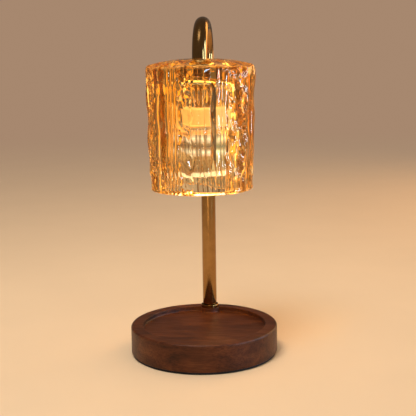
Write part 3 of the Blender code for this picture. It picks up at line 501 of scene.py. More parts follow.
@dataclass(frozen=True)
class Speckled:
    """A plain material with a fine grain: moulded, cast, foamed or fired. Its glow, where it has one, is
    painted light.
    """

    name: str
    colour: Colour
    other: Colour
    grain: float
    depth: float
    rough: Range
    metallic: float = 0.0
    coat: float = 0.0
    see_through: float = 0.0
    # Painted light: warm emission standing in for the bulb's light on a part that is no lamp.
    glow: Colour = (0.0, 0.0, 0.0)

    def make(self) -> Material:
        """Fine clouds move the colour and the gloss and raise the grain, and a glow is painted light.

        Returns:
            The material.
        """
        recipe = Recipe(self.name)
        fine = recipe.noise(recipe.place(), self.grain, 4, 0.6)
        broad = recipe.noise(recipe.place(), self.grain / 14, 3, 0.5)
        tone = recipe.between(recipe.maths("ADD", fine, broad), 0.75, 1.25, 0.0, 1.0)
        recipe.shade(
            Base_Color=recipe.ramp(tone, (0.0, self.colour), (1.0, self.other)),
            Roughness=recipe.between(fine, 0.3, 0.7, *self.rough),
            Metallic=self.metallic,
            Coat_Weight=self.coat,
            Coat_Roughness=0.12,
            Transmission_Weight=self.see_through,
            Normal=recipe.relief(fine, self.depth, 0.6),
        )
        # Painted light: the glow is emission standing in for light that falls on the part, not a lamp.
        if any(self.glow):
            uneven = recipe.ramp(tone, (0.0, (0.94, 0.94, 0.94)), (1.0, (1.0, 1.0, 1.0)))
            glow = recipe.mix(1.0, self.glow, uneven, Blend.MULTIPLY)
            recipe.shade(Emission_Color=glow, Emission_Strength=1.0)
        return recipe.material


@dataclass(frozen=True)
class Metal:
    """Metal with the fine marks of its working and a little tarnish."""

    name: str
    clean: Colour
    dull: Colour
    rough: Range
    marks: float = 1500.0
    lay: tuple[float, float, float] = (1.0, 1.0, 1.0)
    depth: float = 0.01 * MM
    patches: float = 70.0

    def make(self) -> Material:
        """Broad clouds of tarnish, and fine marks drawn out along the way it was worked.

        Returns:
            The material.
        """
        recipe = Recipe(self.name)
        tarnish = recipe.noise(recipe.place(), self.patches, 4, 0.6, 0.8)
        marks = recipe.noise(recipe.place(self.lay), self.marks, 3, 0.6)
        tone = recipe.between(tarnish, 0.35, 0.68, 0.0, 1.0)
        fine = recipe.maths("MULTIPLY", marks, 0.4)
        gloss = recipe.maths("ADD", recipe.maths("MULTIPLY", tarnish, 0.6), fine)
        recipe.shade(
            Base_Color=recipe.ramp(tone, (0.0, self.clean), (1.0, self.dull)),
            Metallic=1.0,
            Roughness=recipe.between(gloss, 0.38, 0.62, *self.rough),
            Normal=recipe.relief(marks, self.depth, 0.5),
        )
        return recipe.material


@dataclass(frozen=True)
class AmberGlass:
    """Thick amber pressed glass, which takes its colour from its depth."""

    face: Colour = (1.0, 0.99, 0.97)
    stained: Colour = (1.0, 0.975, 0.94)
    in_shadow: Colour = (1.0, 0.88, 0.66)
    depth_colour: Colour = (0.997, 0.88, 0.55)
    density: float = 38.0
    index: float = 1.50
    rough: Range = (0.008, 0.035)
    wave_depth: float = 0.09 * MM

    def make(self) -> Material:
        """Clear gloss with faint fire-polish waves, absorption inside, and a tinted way through for light.

        Returns:
            The material.
        """
        recipe = Recipe("amber_pressed_glass")
        waves = recipe.noise(recipe.place((1, 1, 0.5)), 170, 3, 0.5)
        recipe.shade(
            Base_Color=recipe.ramp(waves, (0.3, self.face), (0.7, self.stained)),
            Roughness=recipe.between(waves, 0.35, 0.7, *self.rough),
            IOR=self.index,
            Transmission_Weight=1.0,
            Normal=recipe.relief(waves, self.wave_depth, 0.5),
        )
        way_through = recipe.node("ShaderNodeBsdfTransparent", Color=self.in_shadow)
        seen = recipe.choose(recipe.ray("Is Shadow Ray"), recipe.shader, way_through)
        inside = recipe.node("ShaderNodeVolumeAbsorption", Color=self.depth_colour, Density=self.density)
        recipe.feed(recipe.output.inputs["Surface"], seen.outputs[0])
        recipe.feed(recipe.output.inputs["Volume"], inside.outputs[0])
        return recipe.material


@dataclass(frozen=True)
class GlowingCoat:
    """Mirror coating of the lit reflector, which lets warm light through in bands, and two near-white bands
    in them are painted highlights: (way from the rim to the neck, glow) of each stop."""

    rim: float
    neck: float
    axis_y: float
    facets: int
    metal: Colour = (0.80, 0.74, 0.62)
    seam: Colour = (0.13, 0.075, 0.035)
    strength: float = 0.64
    # The near-white stops at 0.53 and 0.81 are painted highlights; the other stops are the lit bulb's glow.
    bands: tuple = (
        (0.00, (1.9, 1.45, 0.90)), (0.085, (1.9, 1.45, 0.90)), (0.11, (0.34, 0.16, 0.05)),
        (0.30, (0.30, 0.15, 0.05)), (0.42, (0.70, 0.38, 0.14)), (0.53, (2.2, 1.85, 1.30)),
        (0.60, (0.60, 0.36, 0.16)), (0.65, (0.14, 0.12, 0.10)), (0.71, (0.50, 0.32, 0.15)),
        (0.81, (2.2, 1.85, 1.30)), (0.90, (1.0, 0.66, 0.32)), (1.00, (0.85, 0.55, 0.26)),
    )

    def make(self) -> Material:
        """The glow and its painted highlights follow the height between the rim and the neck, stand in bars on
        the facets' middles, and small clouds break them up.

        Returns:
            The material.
        """
        recipe = Recipe("glowing_mirror_coat")
        level = recipe.between(recipe.part_of(recipe.here, "Z"), self.rim, self.neck, 0.0, 1.0)
        spot = recipe.place(shift=(0, -self.axis_y, 0))
        turn = recipe.maths("ARCTAN2", recipe.part_of(spot, "X"), recipe.part_of(spot, "Y"))
        wave = recipe.maths("COSINE", recipe.maths("MULTIPLY", turn, self.facets))
        above_rim = recipe.between(level, 0.09, 0.14, 0.0, 1.0)
        bars = recipe.maths("MULTIPLY", above_rim, recipe.between(wave, -0.5, 0.5, 0.82, 0.0))
        speckle = recipe.between(recipe.noise(recipe.place(), 420, 3, 0.6), 0.3, 0.7, 0.72, 1.12)
        barred = recipe.mix(bars, recipe.ramp(level, *self.bands), self.seam)
        recipe.shade(
            Base_Color=recipe.mix(0.5, self.metal, speckle, Blend.MULTIPLY),
            Metallic=1.0,
            Roughness=recipe.between(speckle, 0.72, 1.12, 0.12, 0.26),
            Emission_Color=recipe.mix(1.0, barred, speckle, Blend.MULTIPLY),
            Emission_Strength=self.strength,
        )
        return recipe.material


@dataclass(frozen=True)
class LitGlass:
    """Glass of the lit bulb: bright, warm and a little uneven."""

    name: str
    core: Colour
    edge: Colour
    strength: float
    grain: float = 340.0

    def make(self) -> Material:
        """Pebbles in the glass gather the light into brighter and duller spots.

        Returns:
            The material.
        """
        recipe = Recipe(self.name)
        pebbles = recipe.cells(recipe.place(), self.grain)
        recipe.shade(
            Base_Color=recipe.ramp(pebbles, (0.0, (0.95, 0.93, 0.88)), (1.0, (0.88, 0.84, 0.76))),
            Roughness=recipe.between(pebbles, 0.1, 0.8, 0.05, 0.14),
            Transmission_Weight=0.6,
            Emission_Color=recipe.ramp(
                recipe.between(pebbles, 0.1, 0.8, 0.0, 1.0), (0.0, self.core), (1.0, self.edge)
            ),
            Emission_Strength=self.strength,
        )
        return recipe.material


FOAM = Speckled("black_foam", (0.010, 0.010, 0.011), (0.020, 0.020, 0.022), 3200, 0.2 * MM, (0.85, 0.98))
IRON = Speckled("cast_iron", (0.050, 0.050, 0.053), (0.085, 0.080, 0.078), 900, 0.25 * MM, (0.55, 0.75), 0.8)
RUBBER = Speckled("black_rubber", (0.016, 0.016, 0.017), (0.030, 0.030, 0.031), 1400, 0.05 * MM, (0.6, 0.8))
SILICONE = Speckled(
    "clear_silicone", (0.80, 0.78, 0.72), (0.70, 0.68, 0.62), 700, 0.03 * MM, (0.45, 0.6), see_through=0.3
)
NYLON = Speckled("white_nylon", (0.80, 0.78, 0.72), (0.70, 0.68, 0.62), 800, 0.04 * MM, (0.42, 0.55))
# The cup's glow is painted light: the bulb's warm light on the enamel, put on as emission.
ENAMEL = Speckled(
    "cream_enamel", (0.86, 0.68, 0.43), (0.80, 0.61, 0.37), 520, 0.03 * MM, (0.22, 0.32), coat=0.5,
    glow=(0.56, 0.205, 0.040),
)
CERAMIC = Speckled("white_ceramic", (0.80, 0.77, 0.70), (0.72, 0.68, 0.60), 1100, 0.05 * MM, (0.30, 0.42))
BULB_CERAMIC = Speckled("bulb_ceramic", (0.82, 0.79, 0.72), (0.74, 0.70, 0.62), 1100, 0.05 * MM, (0.32, 0.45))
ZINC = ((0.60, 0.61, 0.62), (0.42, 0.43, 0.45), (0.30, 0.46))
ZINC_PLATE = Metal("zinc_plate", *ZINC, lay=(0.06, 1, 1))
ZINC_WASHER = Metal("zinc_washer", *ZINC)
ZINC_SCREW = Metal("zinc_screw", *ZINC, lay=(0.08, 1, 1))
BRONZE = Metal(
    "polished_bronze", (0.38, 0.215, 0.078), (0.29, 0.155, 0.052), (0.10, 0.20), 1600, (1, 1, 0.04),
    patches=45,
)
BRASS = Metal("turned_brass", (0.68, 0.47, 0.19), (0.50, 0.33, 0.13), (0.20, 0.34), 2600, (1, 1, 0.2))
TINNED = Metal("tinned_copper", (0.74, 0.73, 0.70), (0.60, 0.57, 0.52), (0.22, 0.36), 1800)


# The lamp's sub-assemblies


@dataclass
class Assembly:
    """What the sub-assemblies share: their axes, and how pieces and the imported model's nodes are finished."""

    body: Body = Body.LAMP
    axis_y: float = -4.0 * MM
    pole_y: float = 57.5 * MM

    def add(self, piece: Piece, material: Material, slot: Slot, *nodes: str) -> None:
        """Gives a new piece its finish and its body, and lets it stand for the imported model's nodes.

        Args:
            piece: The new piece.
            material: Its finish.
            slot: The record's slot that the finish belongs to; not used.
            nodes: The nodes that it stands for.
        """
        piece.data.materials.append(material)
        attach(piece, self.body.value)
        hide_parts(*nodes)
        faces = sum(len(polygon.vertices) - 2 for polygon in piece.data.polygons)
        LOG.info("%s: %d triangles on %s", piece.name, faces, self.body.value)

    def dress(self, material: Material, *nodes: str) -> None:
        """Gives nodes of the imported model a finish.

        Args:
            material: The finish.
            nodes: The nodes' names.
        """
        for name in nodes:
            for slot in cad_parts[name].material_slots:
                slot.material = material
            LOG.info("%s: dressed in %s", name, material.name)


@dataclass
class Base(Assembly):
    """Walnut disc with a round recess, its foam pad, and what is let into it."""

    radius: float = 70.0 * MM
    bottom: float = 2.3 * MM
    top: float = 28.0 * MM
    edge_round: float = 2.0 * MM
    foot_round: float = 0.8 * MM
    recess_radius: float = 58.5 * MM
    recess_floor: float = 23.5 * MM
    recess_fillet: float = 1.4 * MM
    recess_lip: float = 0.7 * MM
    rim_start: float = 2.4 * MM
    floor_steps: tuple = (0.86, 0.68, 0.50, 0.32, 0.14)
    boss_radius: float = 9.2 * MM
    seat_radius: float = 46.4 * MM
    ledge: float = 4.6 * MM
    cavity_radius: float = 38.4 * MM
    cavity_ceiling: float = 14.4 * MM
    pad_inner: float = 47.9 * MM
    pad_outer: float = 68.8 * MM
    pad_thickness: float = 2.0 * MM
    outlet_z: float = 10.5 * MM
    outlet_radius: float = 4.7 * MM
    spot_radius: float = 5.9 * MM
    spot_y: float = 67.877 * MM
    spacing: float = 2.5 * MM
    pocket_columns: int = 216
    boss_columns: int = 24
    pad_columns: int = 160
    drill_columns: int = 48

    def recess_ring(self, inset: np.ndarray) -> np.ndarray:
        """Outline of the recess: the round pocket less the boss under the neck. It runs along the pocket from
        one crossing of the two circles to the other, and back round the boss.

        Args:
            inset: How far inside the pocket and outside the boss each row lies.

        Returns:
            Rows by columns by two.
        """
        pocket, boss = self.recess_radius - inset[:, None], self.boss_radius + inset[:, None]
        meet_y = (pocket**2 - boss**2 + self.pole_y**2) / (2 * self.pole_y)
        meet_x = np.sqrt(pocket**2 - meet_y**2)
        along, back = (np.arange(count) / count for count in (self.pocket_columns, self.boss_columns))
        start = np.arctan2(meet_y, -meet_x)
        angle = start + (TURN - 2 * (start - math.pi / 2)) * along
        turn_back = np.arctan2(meet_y - self.pole_y, meet_x)
        back_angle = turn_back - (math.pi + 2 * turn_back) * back
        runs = [ring(pocket, angle, 0.0), ring(boss, back_angle, 0.0, self.pole_y)]
        return np.concatenate(runs, axis=1)[..., :2]

    def wood_rings(self) -> np.ndarray:
        """Rings of the wood from the cavity's ceiling, out and round the edge, into the recess and to its
        middle. Every ring keeps the recess outline's directions, so the flat rim joins circle to outline.

        Returns:
            Rows by columns by three.
        """
        quarter = np.linspace(0, math.pi / 2, 7)
        lip_inset = -self.recess_lip * (1 - np.cos(quarter[::-1]))
        lip_z = self.top - self.recess_lip * (1 - np.sin(quarter[::-1]))
        fillet_inset = self.recess_fillet * (1 - np.cos(quarter))
        fillet_z = self.recess_floor + self.recess_fillet * (1 - np.sin(quarter))
        plan = self.recess_ring(np.concatenate([lip_inset, fillet_inset]))
        corners = [
            (0.3 * self.cavity_radius, self.cavity_ceiling, 0),
            (self.cavity_radius, self.cavity_ceiling, 0.4 * MM),
            (self.cavity_radius, self.ledge, 0.3 * MM),
            (self.seat_radius, self.ledge, 0),
            (self.seat_radius, self.bottom, 0.2 * MM),
            (self.radius, self.bottom, self.foot_round),
            (self.radius, self.top, self.edge_round),
            (self.recess_radius + self.rim_start, self.top, 0),
        ]
        outside = finer(rounded(corners), self.spacing)
        circles = ring(outside[:, :1], np.arctan2(plan[0, :, 1], plan[0, :, 0]), outside[:, 1:])
        edge = side_by_side(plan[..., 0], plan[..., 1], np.concatenate([lip_z, fillet_z])[:, None])
        shrink = np.array(self.floor_steps)[:, None, None]
        floor = edge[-1:] * np.array([1, 1, 0]) * shrink + np.array([0, 0, self.recess_floor])
        return np.concatenate([circles, edge, floor])

    def outlet_drill(self, radius: float, start: float, end: float) -> Piece:
        """A level round drill for the back of the wood, with its radius and its two ends along Y."""
        rings = ring(radius, turns(self.drill_columns), np.array([[start], [end]]), self.outlet_z)
        return skin("outlet_drill", rings[..., [0, 2, 1]], rows_meet=False)

    def build(self) -> None:
        """Makes the wood and the pad, and dresses the pieces that are let into the wood."""
        wood = skin("walnut_disc", self.wood_rings(), rows_meet=False, sharp=40)
        carve(wood, self.outlet_drill(self.spot_radius, self.spot_y, self.radius + 5 * MM), 40)
        carve(wood, self.outlet_drill(self.outlet_radius, self.pole_y, self.radius), 40)
        self.add(wood, Walnut().make(), Slot.WALNUT, "wooden_base")
        rounds = (0.3 * MM, 0.6 * MM, 0.3 * MM, 0.3 * MM)
        pad = flat_ring(self.pad_inner, self.pad_outer, (0, self.pad_thickness), rounds, steps=4)
        foam_pad = skin("foam_pad", turned(pad, self.pad_columns), rows_meet=True)
        self.add(foam_pad, FOAM.make(), Slot.FOAM, "base_pad")
        screws = [f"cover_screw_{index}" for index in (1, 2, 3, 4)]
        self.dress(ZINC_PLATE.make(), "bottom_cover", *screws)
        self.dress(IRON.make(), "ballast_weight")
        self.dress(RUBBER.make(), "cord_grommet")


@dataclass
class Neck(Assembly):
    """Bent bronze tube with the ferrule round its foot."""

    foot_z: float = 28.3 * MM
    end_z: float = 262.85 * MM
    bend_radius: float = 30.75 * MM
    bend_z: float = 280.25 * MM
    radius: float = 7.0 * MM
    wall: float = 1.2 * MM
    soft: float = 0.3 * MM
    ferrule_radius: float = 8.7 * MM
    ferrule_height: float = 3.2 * MM
    gap: float = 0.3 * MM
    leg_rows: int = 24
    bend_rows: int = 61
    drop_rows: int = 5
    columns: int = 72
    ferrule_columns: int = 96

    def stations(self) -> np.ndarray:
        """Centre line: a straight leg, a half turn and a short leg down.

        Returns:
            Stations by three, (y, z, slope).
        """
        slope = np.linspace(0, math.pi, self.bend_rows)
        up = np.linspace(self.foot_z, self.bend_z, self.leg_rows, endpoint=False)
        down = np.linspace(self.bend_z, self.end_z, self.drop_rows)[1:]
        bend_y = self.pole_y - self.bend_radius * (1 - np.cos(slope))
        bend = side_by_side(bend_y, self.bend_z + self.bend_radius * np.sin(slope), slope)
        drop = side_by_side(self.pole_y - 2 * self.bend_radius, down, math.pi)
        return np.concatenate([side_by_side(self.pole_y, up, 0.0), bend, drop])

    def tube_rings(self) -> np.ndarray:
        """A circle carried along the centre line outside, with softened ends, and back along it inside: a
        point is the station plus radius times (cos t along X, sin t across the path).

        Returns:
            Rows by columns by three.
        """
        path = self.stations()
        count = len(path)
        places = np.arange(count)
        order = np.concatenate([[0], places, [count - 1], places[::-1]])
        reach = np.full((len(order), 1), self.radius)
        reach[[0, count + 1]] -= self.soft
        reach[count + 2:] -= self.wall
        y, z, slope = (path[order, column][:, None] for column in range(3))
        z[[1, count]] += self.soft
        turn = turns(self.columns)
        across = reach * np.sin(turn)
        return side_by_side(reach * np.cos(turn), y + np.cos(slope) * across, z + np.sin(slope) * across)

    def build(self) -> None:
        """Makes the tube and the ferrule."""
        bronze = BRONZE.make()
        tube = skin("bent_neck", self.tube_rings(), rows_meet=True, sharp=50)
        self.add(tube, bronze, Slot.BRONZE, "neck_tube")
        heights = (self.foot_z, self.foot_z + self.ferrule_height)
        rounds = (0.1 * MM, 0.2 * MM, 0.9 * MM, 0.2 * MM)
        ferrule = flat_ring(self.radius + self.gap, self.ferrule_radius, heights, rounds)
        collar = skin("neck_collar", turned(ferrule, self.ferrule_columns, self.pole_y), rows_meet=True)
        self.add(collar, bronze, Slot.BRONZE, "foot_ferrule")


@dataclass
class PressedShade(Assembly):
    """Thick-walled pressed glass hung mouth down: petals, flutes of uneven width, a zigzag where they end,
    and strips chipped like bark. The front flutes' edges and the bark's ends are directions in degrees, and
    the draws for a strip's dish, tilt, level and edge and for the zigzag's height are in millimetres."""

    apex: float = 279.85 * MM
    height: float = 120.0 * MM
    top_radius: float = 51.3 * MM
    mouth_radius: float = 49.2 * MM
    mouth_bore: float = 27.3 * MM
    ceiling_bore: float = 26.3 * MM
    slab: float = 18.0 * MM
    dome: float = 4.8 * MM
    dome_curve: float = 2.4
    shoulder: float = 5.6 * MM
    mouth_round: float = 1.6 * MM
    ceiling_fillet: float = 10.5 * MM
    hole_radius: float = 7.5 * MM
    mouth_share: float = 0.35
    crown_share: float = 0.4
    crown_end: float = 0.45
    petals: int = 11
    petal_depth: float = 1.4 * MM
    petal_dip: float = 2.0 * MM
    ripple_depth: float = 1.5 * MM
    ripple_pitch: float = 34.0 * MM
    front_edges: tuple = (
        228.0, 233.9, 236.8, 242.0, 247.0, 251.7, 259.0, 266.7, 273.9, 280.5, 287.1, 292.4, 299.5, 307.1
    )
    widths: Range = (0.55, 1.45)
    across: tuple = (0.0, 0.03, 0.09, 0.18, 0.28, 0.39, 0.50, 0.61, 0.72, 0.82, 0.91, 0.97)
    strips: int = 36
    strip_draws: tuple = ((0.30, 0.85), (-0.50, 0.50), (0.20, 0.45), (0.0, 0.75))
    groove_every: int = 9
    groove_depth: float = 3.0 * MM
    zigzag_draws: Range = (178, 198)
    zigzag_height: float = 13 * MM
    zigzag_step: float = 1.1 * MM
    chip_width: float = 7.2 * MM
    chip_length: float = 15.0 * MM
    chip_slant: float = 0.42
    chip_shake: float = 0.42
    chip_tilt: Range = (1.15, 0.32)
    chip_curve: float = 85.0
    chip_level: float = 0.30 * MM
    chip_face: float = 0.6 * MM
    chip_depth: float = 3.4 * MM
    chip_rows: int = 64
    bark: tuple = ((20, 40), (68, 77), (108, 126), (155, 170), (205, 214), (252, 266), (308, 333))
    bark_edge: float = 1.2
    bark_wander: float = 1.4
    bark_sink: float = 0.15 * MM
    side_rows: int = 137
    seed: int = 7

    def columns(self) -> tuple[np.ndarray, np.ndarray]:
        """Directions of the columns, twelve to a strip and crowded at its two edges. The strips at the front
        have set widths, and the others drawn ones.

        Returns:
            Each column's direction, and its share of the way across its strip.
        """
        draws = np.random.default_rng(self.seed)
        front = np.radians(self.front_edges)
        widths = draws.uniform(*self.widths, self.strips + 1 - len(front))
        rest = front[-1] + (front[0] + TURN - front[-1]) * np.cumsum(widths) / widths.sum()
        edges = np.concatenate([front, rest])
        direction = edges[:-1, None] + (edges[1:] - edges[:-1])[:, None] * np.array(self.across)
        return direction.ravel(), np.tile(self.across, self.strips)

    def strip_set(self, draws: np.random.Generator, across: np.ndarray) -> np.ndarray:
        """Hollow of one set of strips, each with its own draws: a level, a dish that is one less the square
        of the way from its middle, a tilt, and a ridge or a groove at its edge.

        Args:
            draws: Where the drawn sizes come from.
            across: Each column's share of the way across its strip.

        Returns:
            Depth of each column.
        """
        dish, tilt, level, edge = (
            np.repeat(draws.uniform(low, high, self.strips), len(self.across)) * MM
            for low, high in self.strip_draws
        )
        hollow = level + dish * (1 - (2 * across - 1) ** 2) + tilt * (across - 0.5)
        return np.where(across == 0, edge, hollow)

    def flutes(self, across: np.ndarray, up: np.ndarray) -> np.ndarray:
        """Hollow of the smooth strips. Here and there one strip falls and the next one rises again, as the
        two flanks of a deep groove. Each strip ends in a point low on the side, where another strip takes
        over, so that the ends make a zigzag: the change climbs and falls once across the strip.

        Args:
            across: Each column's share of the way across its strip.
            up: Height of each row, as a column.

        Returns:
            Depth below the ridges, rows by columns.
        """
        draws = np.random.default_rng(self.seed + 1)
        long_strips = self.strip_set(draws, across)
        short_strips = self.strip_set(draws, across) + self.zigzag_step
        turn_of = np.repeat(np.arange(self.strips) % self.groove_every, len(self.across))
        long_strips = np.where(turn_of == 0, self.groove_depth * across, long_strips)
        long_strips = np.where(turn_of == 1, self.groove_depth * (1 - across), long_strips)
        point = np.repeat(draws.uniform(*self.zigzag_draws, self.strips), len(self.across)) * MM
        wedge = point - self.zigzag_height * np.abs(2 * across - 1)
        taken = smooth_step(-self.zigzag_step, self.zigzag_step, wedge - up)
        return long_strips * (1 - taken) + short_strips * taken

    def chips(self, around: np.ndarray, up: np.ndarray) -> np.ndarray:
        """Hollow of the chipped glass: many scoops that lie on a shaken, slanted lattice. Each scoop is a
        tilted plane less the square of the distance to its middle, and the deepest one holds, so crisp ridges
        run between them.

        Args:
            around: Distance round the shade.
            up: Height.

        Returns:
            Depth, between 0 and the chips' full depth.
        """
        draws = np.random.default_rng(self.seed + 2)
        count = round(TURN * self.top_radius / self.chip_width)
        table = draws.uniform(-1, 1, (self.chip_rows, count, 5))
        rise = up / self.chip_length
        side = around / (TURN * self.top_radius) * count + self.chip_slant * rise
        row, column = np.floor(rise).astype(int), np.floor(side).astype(int)
        lowest = np.full(np.broadcast(side, rise).shape, np.inf)
        for over in range(-2, 3):
            for above in range(-2, 3):
                pick = table[(row + above) % self.chip_rows, (column + over) % count]
                off = (side - column - over - 0.5 - self.chip_shake * pick[..., 0]) * self.chip_width
                lift = (rise - row - above - 0.5 - self.chip_shake * pick[..., 1]) * self.chip_length
                bowl = self.chip_curve * (off**2 + (0.5 * lift) ** 2)
                bowl = bowl + self.chip_tilt[0] * pick[..., 2] * off + self.chip_tilt[1] * pick[..., 3] * lift
                lowest = np.minimum(lowest, bowl + self.chip_level * pick[..., 4])
        return np.clip(self.chip_face - lowest, 0, self.chip_depth)

    def petal(self, direction: np.ndarray) -> np.ndarray:
        """Hollow of the petals: one less the square of the way from a petal's middle to its edge."""
        return 1 - (2 * (self.petals * direction / TURN % 1) - 1) ** 2

    def hollow(self, direction: np.ndarray, across: np.ndarray, height: np.ndarray) -> np.ndarray:
        """Depth of the whole relief below the shade's envelope: petals, ripples, and flutes or chips. The
        ripples are two waves that wind up the side in opposite ways.

        Args:
            direction: Each column's direction.
            across: Each column's share of the way across its strip.
            height: Each row's height, as a column.

        Returns:
            Rows by columns.
        """
        rise = TURN * height / self.ripple_pitch
        ripple = (1 + (np.sin(3 * direction + rise) + np.sin(5 * direction - 0.7 * rise + 1.3)) / 2) / 2
        degrees = np.degrees(direction) % 360 + self.bark_wander * np.sin(rise * 1.7 + 3 * direction)
        bark = np.zeros(degrees.shape)
        for start, end in self.bark:
            begun = smooth_step(start - self.bark_edge, start + self.bark_edge, degrees)
            bark = np.maximum(bark, begun * smooth_step(end + self.bark_edge, end - self.bark_edge, degrees))
        strips = (1 - bark) * self.flutes(across, height)
        chips = bark * (self.chips(self.top_radius * direction, height) + self.bark_sink)
        return self.petal_depth * self.petal(direction) + self.ripple_depth * ripple + strips + chips

    def outside(self) -> np.ndarray:
        """Outer section: round the mouth, up the side, over the shoulder and across the dome to the hole.

        Returns:
            Rows by four: radius, height, share of the relief and share of the petals' dip.
        """
        mouth = self.apex - self.height
        side_bottom, side_top = mouth + self.mouth_round, self.apex - self.dome - self.shoulder
        dome_radius = self.top_radius - self.shoulder
        lip, over = np.linspace(0, 1, 6), np.linspace(0, 1, 11)[1:]
        climb = np.linspace(0, 1, self.side_rows + 1)[1:]
        lip_turn, over_turn = math.pi / 2 * lip, math.pi / 2 * over
        inward = np.linspace(1, self.hole_radius / dome_radius, 18)[1:]
        fading = np.clip((inward - self.crown_end) / (1 - self.crown_end), 0, 1)
        parts = (
            (
                self.mouth_radius - self.mouth_round * (1 - np.sin(lip_turn)),
                mouth + self.mouth_round * (1 - np.cos(lip_turn)),
                self.mouth_share + (1 - self.mouth_share) * lip,
                0.0,
            ),
            (
                self.mouth_radius + (self.top_radius - self.mouth_radius) * climb,
                side_bottom + (side_top - side_bottom) * climb,
                1.0,
                0.0,
            ),
            (
                self.top_radius - self.shoulder * (1 - np.cos(over_turn)),
                side_top + self.shoulder * np.sin(over_turn),
                1 - (1 - self.crown_share) * over,
                over,
            ),
            (
                dome_radius * inward,
                self.apex - self.dome * inward**self.dome_curve,
                self.crown_share * fading,
                fading,
            ),
        )
        section = np.concatenate([side_by_side(*part) for part in parts])
        section[-1, 1] = self.apex
        return section

    def inside(self) -> np.ndarray:
        """Smooth inner section from the hole, over the ceiling and down the tapered bore to the mouth.

        Returns:
            Rows by two, (radius, height).
        """
        mouth, ceiling = self.apex - self.height, self.apex - self.slab
        corners = [
            (self.hole_radius, self.apex, 0),
            (self.hole_radius, ceiling, 0.3 * MM),
            (self.ceiling_bore, ceiling, self.ceiling_fillet),
            (self.mouth_bore, mouth, self.mouth_round),
            (self.mouth_radius - self.mouth_round, mouth, 0),
        ]
        return finer(rounded(corners, steps=14)[1:-1], 6 * MM)

    def build(self) -> None:
        """Makes the glass: the relief goes inward from the outer section, and the bore stays smooth."""
        angle, across = self.columns()
        radius, height, share, dip = np.split(self.outside(), 4, axis=1)
        reach = radius - share * self.hollow(angle, across, height)
        outer = ring(reach, angle, height - dip * self.petal_dip * self.petal(angle), self.axis_y)
        bore = self.inside()
        inner = ring(bore[:, :1], angle, bore[:, 1:], self.axis_y)
        glass = skin("pressed_shade", np.concatenate([outer, inner]), rows_meet=True, sharp=28)
        self.add(glass, AmberGlass().make(), Slot.GLASS, "glass_shade")


@dataclass
class ShadeSeat(Assembly):
    """Gasket, disc and hollow stud that carry the shade on the neck, with their nuts."""

    bore: float = 5.3 * MM
    gasket_radius: float = 14.0 * MM
    gasket_top: float = 261.55 * MM
    gasket_thickness: float = 1.5 * MM
    disc_radius: float = 15.5 * MM
    disc_top: float = 259.75 * MM
    disc_thickness: float = 2.0 * MM
    washer_columns: int = 96
    stem_radius: float = 5.0 * MM
    stem_bore: float = 3.5 * MM
    stem_end: float = 232.45 * MM
    plug_radius: float = 5.5 * MM
    plug_bottom: float = 262.85 * MM
    plug_top: float = 273.85 * MM
    thread_pitch: float = 1.0 * MM
    thread_depth: float = 0.42 * MM
    thread_fade: float = 0.8 * MM
    thread_square: float = 0.7
    rows_per_pitch: int = 8
    stem_columns: int = 48

    def washer(self, radius: float, top: float, thickness: float, rounding: float) -> np.ndarray:
        """Rings of a flat ring: its outer radius, upper face, thickness and outer edges' rounding."""
        section = flat_ring(self.bore, radius, (top - thickness, top), (0, rounding, rounding, 0))
        return turned(section, self.washer_columns, self.axis_y)

    def stem_rings(self) -> np.ndarray:
        """Rings of the hollow stem: a plain plug on top, and a thread that winds down to its end. The thread
        is a sine of the height in pitches less the turn, squared off a little at its crests.

        Returns:
            Rows by columns by three.
        """
        turn = turns(self.stem_columns)
        first, last = self.stem_end + 0.2 * MM, self.plug_bottom - 0.3 * MM
        height = np.arange(first, last, self.thread_pitch / self.rows_per_pitch)[:, None]
        wave = 0.5 - 0.5 * np.cos(TURN * height / self.thread_pitch - turn)
        from_end = smooth_step(0, self.thread_fade, height - self.stem_end)
        fading = from_end * smooth_step(0, self.thread_fade, self.plug_bottom - height)
        crest = self.stem_radius - self.thread_depth * fading * wave**self.thread_square
        plug = np.array(
            [
                [self.stem_radius, self.plug_bottom],
                [self.plug_radius, self.plug_bottom],
                [self.plug_radius, self.plug_top],
                [self.stem_bore, self.plug_top],
                [self.stem_bore, self.stem_end],
                [self.stem_radius - 0.2 * MM, self.stem_end],
            ]
        )
        thread = ring(crest, turn, height, self.axis_y)
        return np.concatenate([thread, turned(finer(plug, 6 * MM), self.stem_columns, self.axis_y)])

    def build(self) -> None:
        """Makes the gasket, the disc and the stem, and dresses the nuts, washer, lead and terminal block."""
        gasket = self.washer(self.gasket_radius, self.gasket_top, self.gasket_thickness, 0.6 * MM)
        silicone_ring = skin("silicone_ring", gasket, rows_meet=True)
        self.add(silicone_ring, SILICONE.make(), Slot.SILICONE, "shade_gasket")
        brass = BRASS.make()
        disc = self.washer(self.disc_radius, self.disc_top, self.disc_thickness, 0.4 * MM)
        self.add(skin("carrier_disc", disc, rows_meet=True), brass, Slot.BRASS, "seat_disc")
        stem = skin("threaded_stem", self.stem_rings(), rows_meet=True, sharp=50)
        self.add(stem, brass, Slot.BRASS, "head_stud")
        self.dress(brass, "seat_nut", "stem_nut", "cup_nut", "foot_stud", "foot_nut")
        self.dress(ZINC_WASHER.make(), "foot_washer")
        self.dress(NYLON.make(), "terminal_block", "neck_lead")


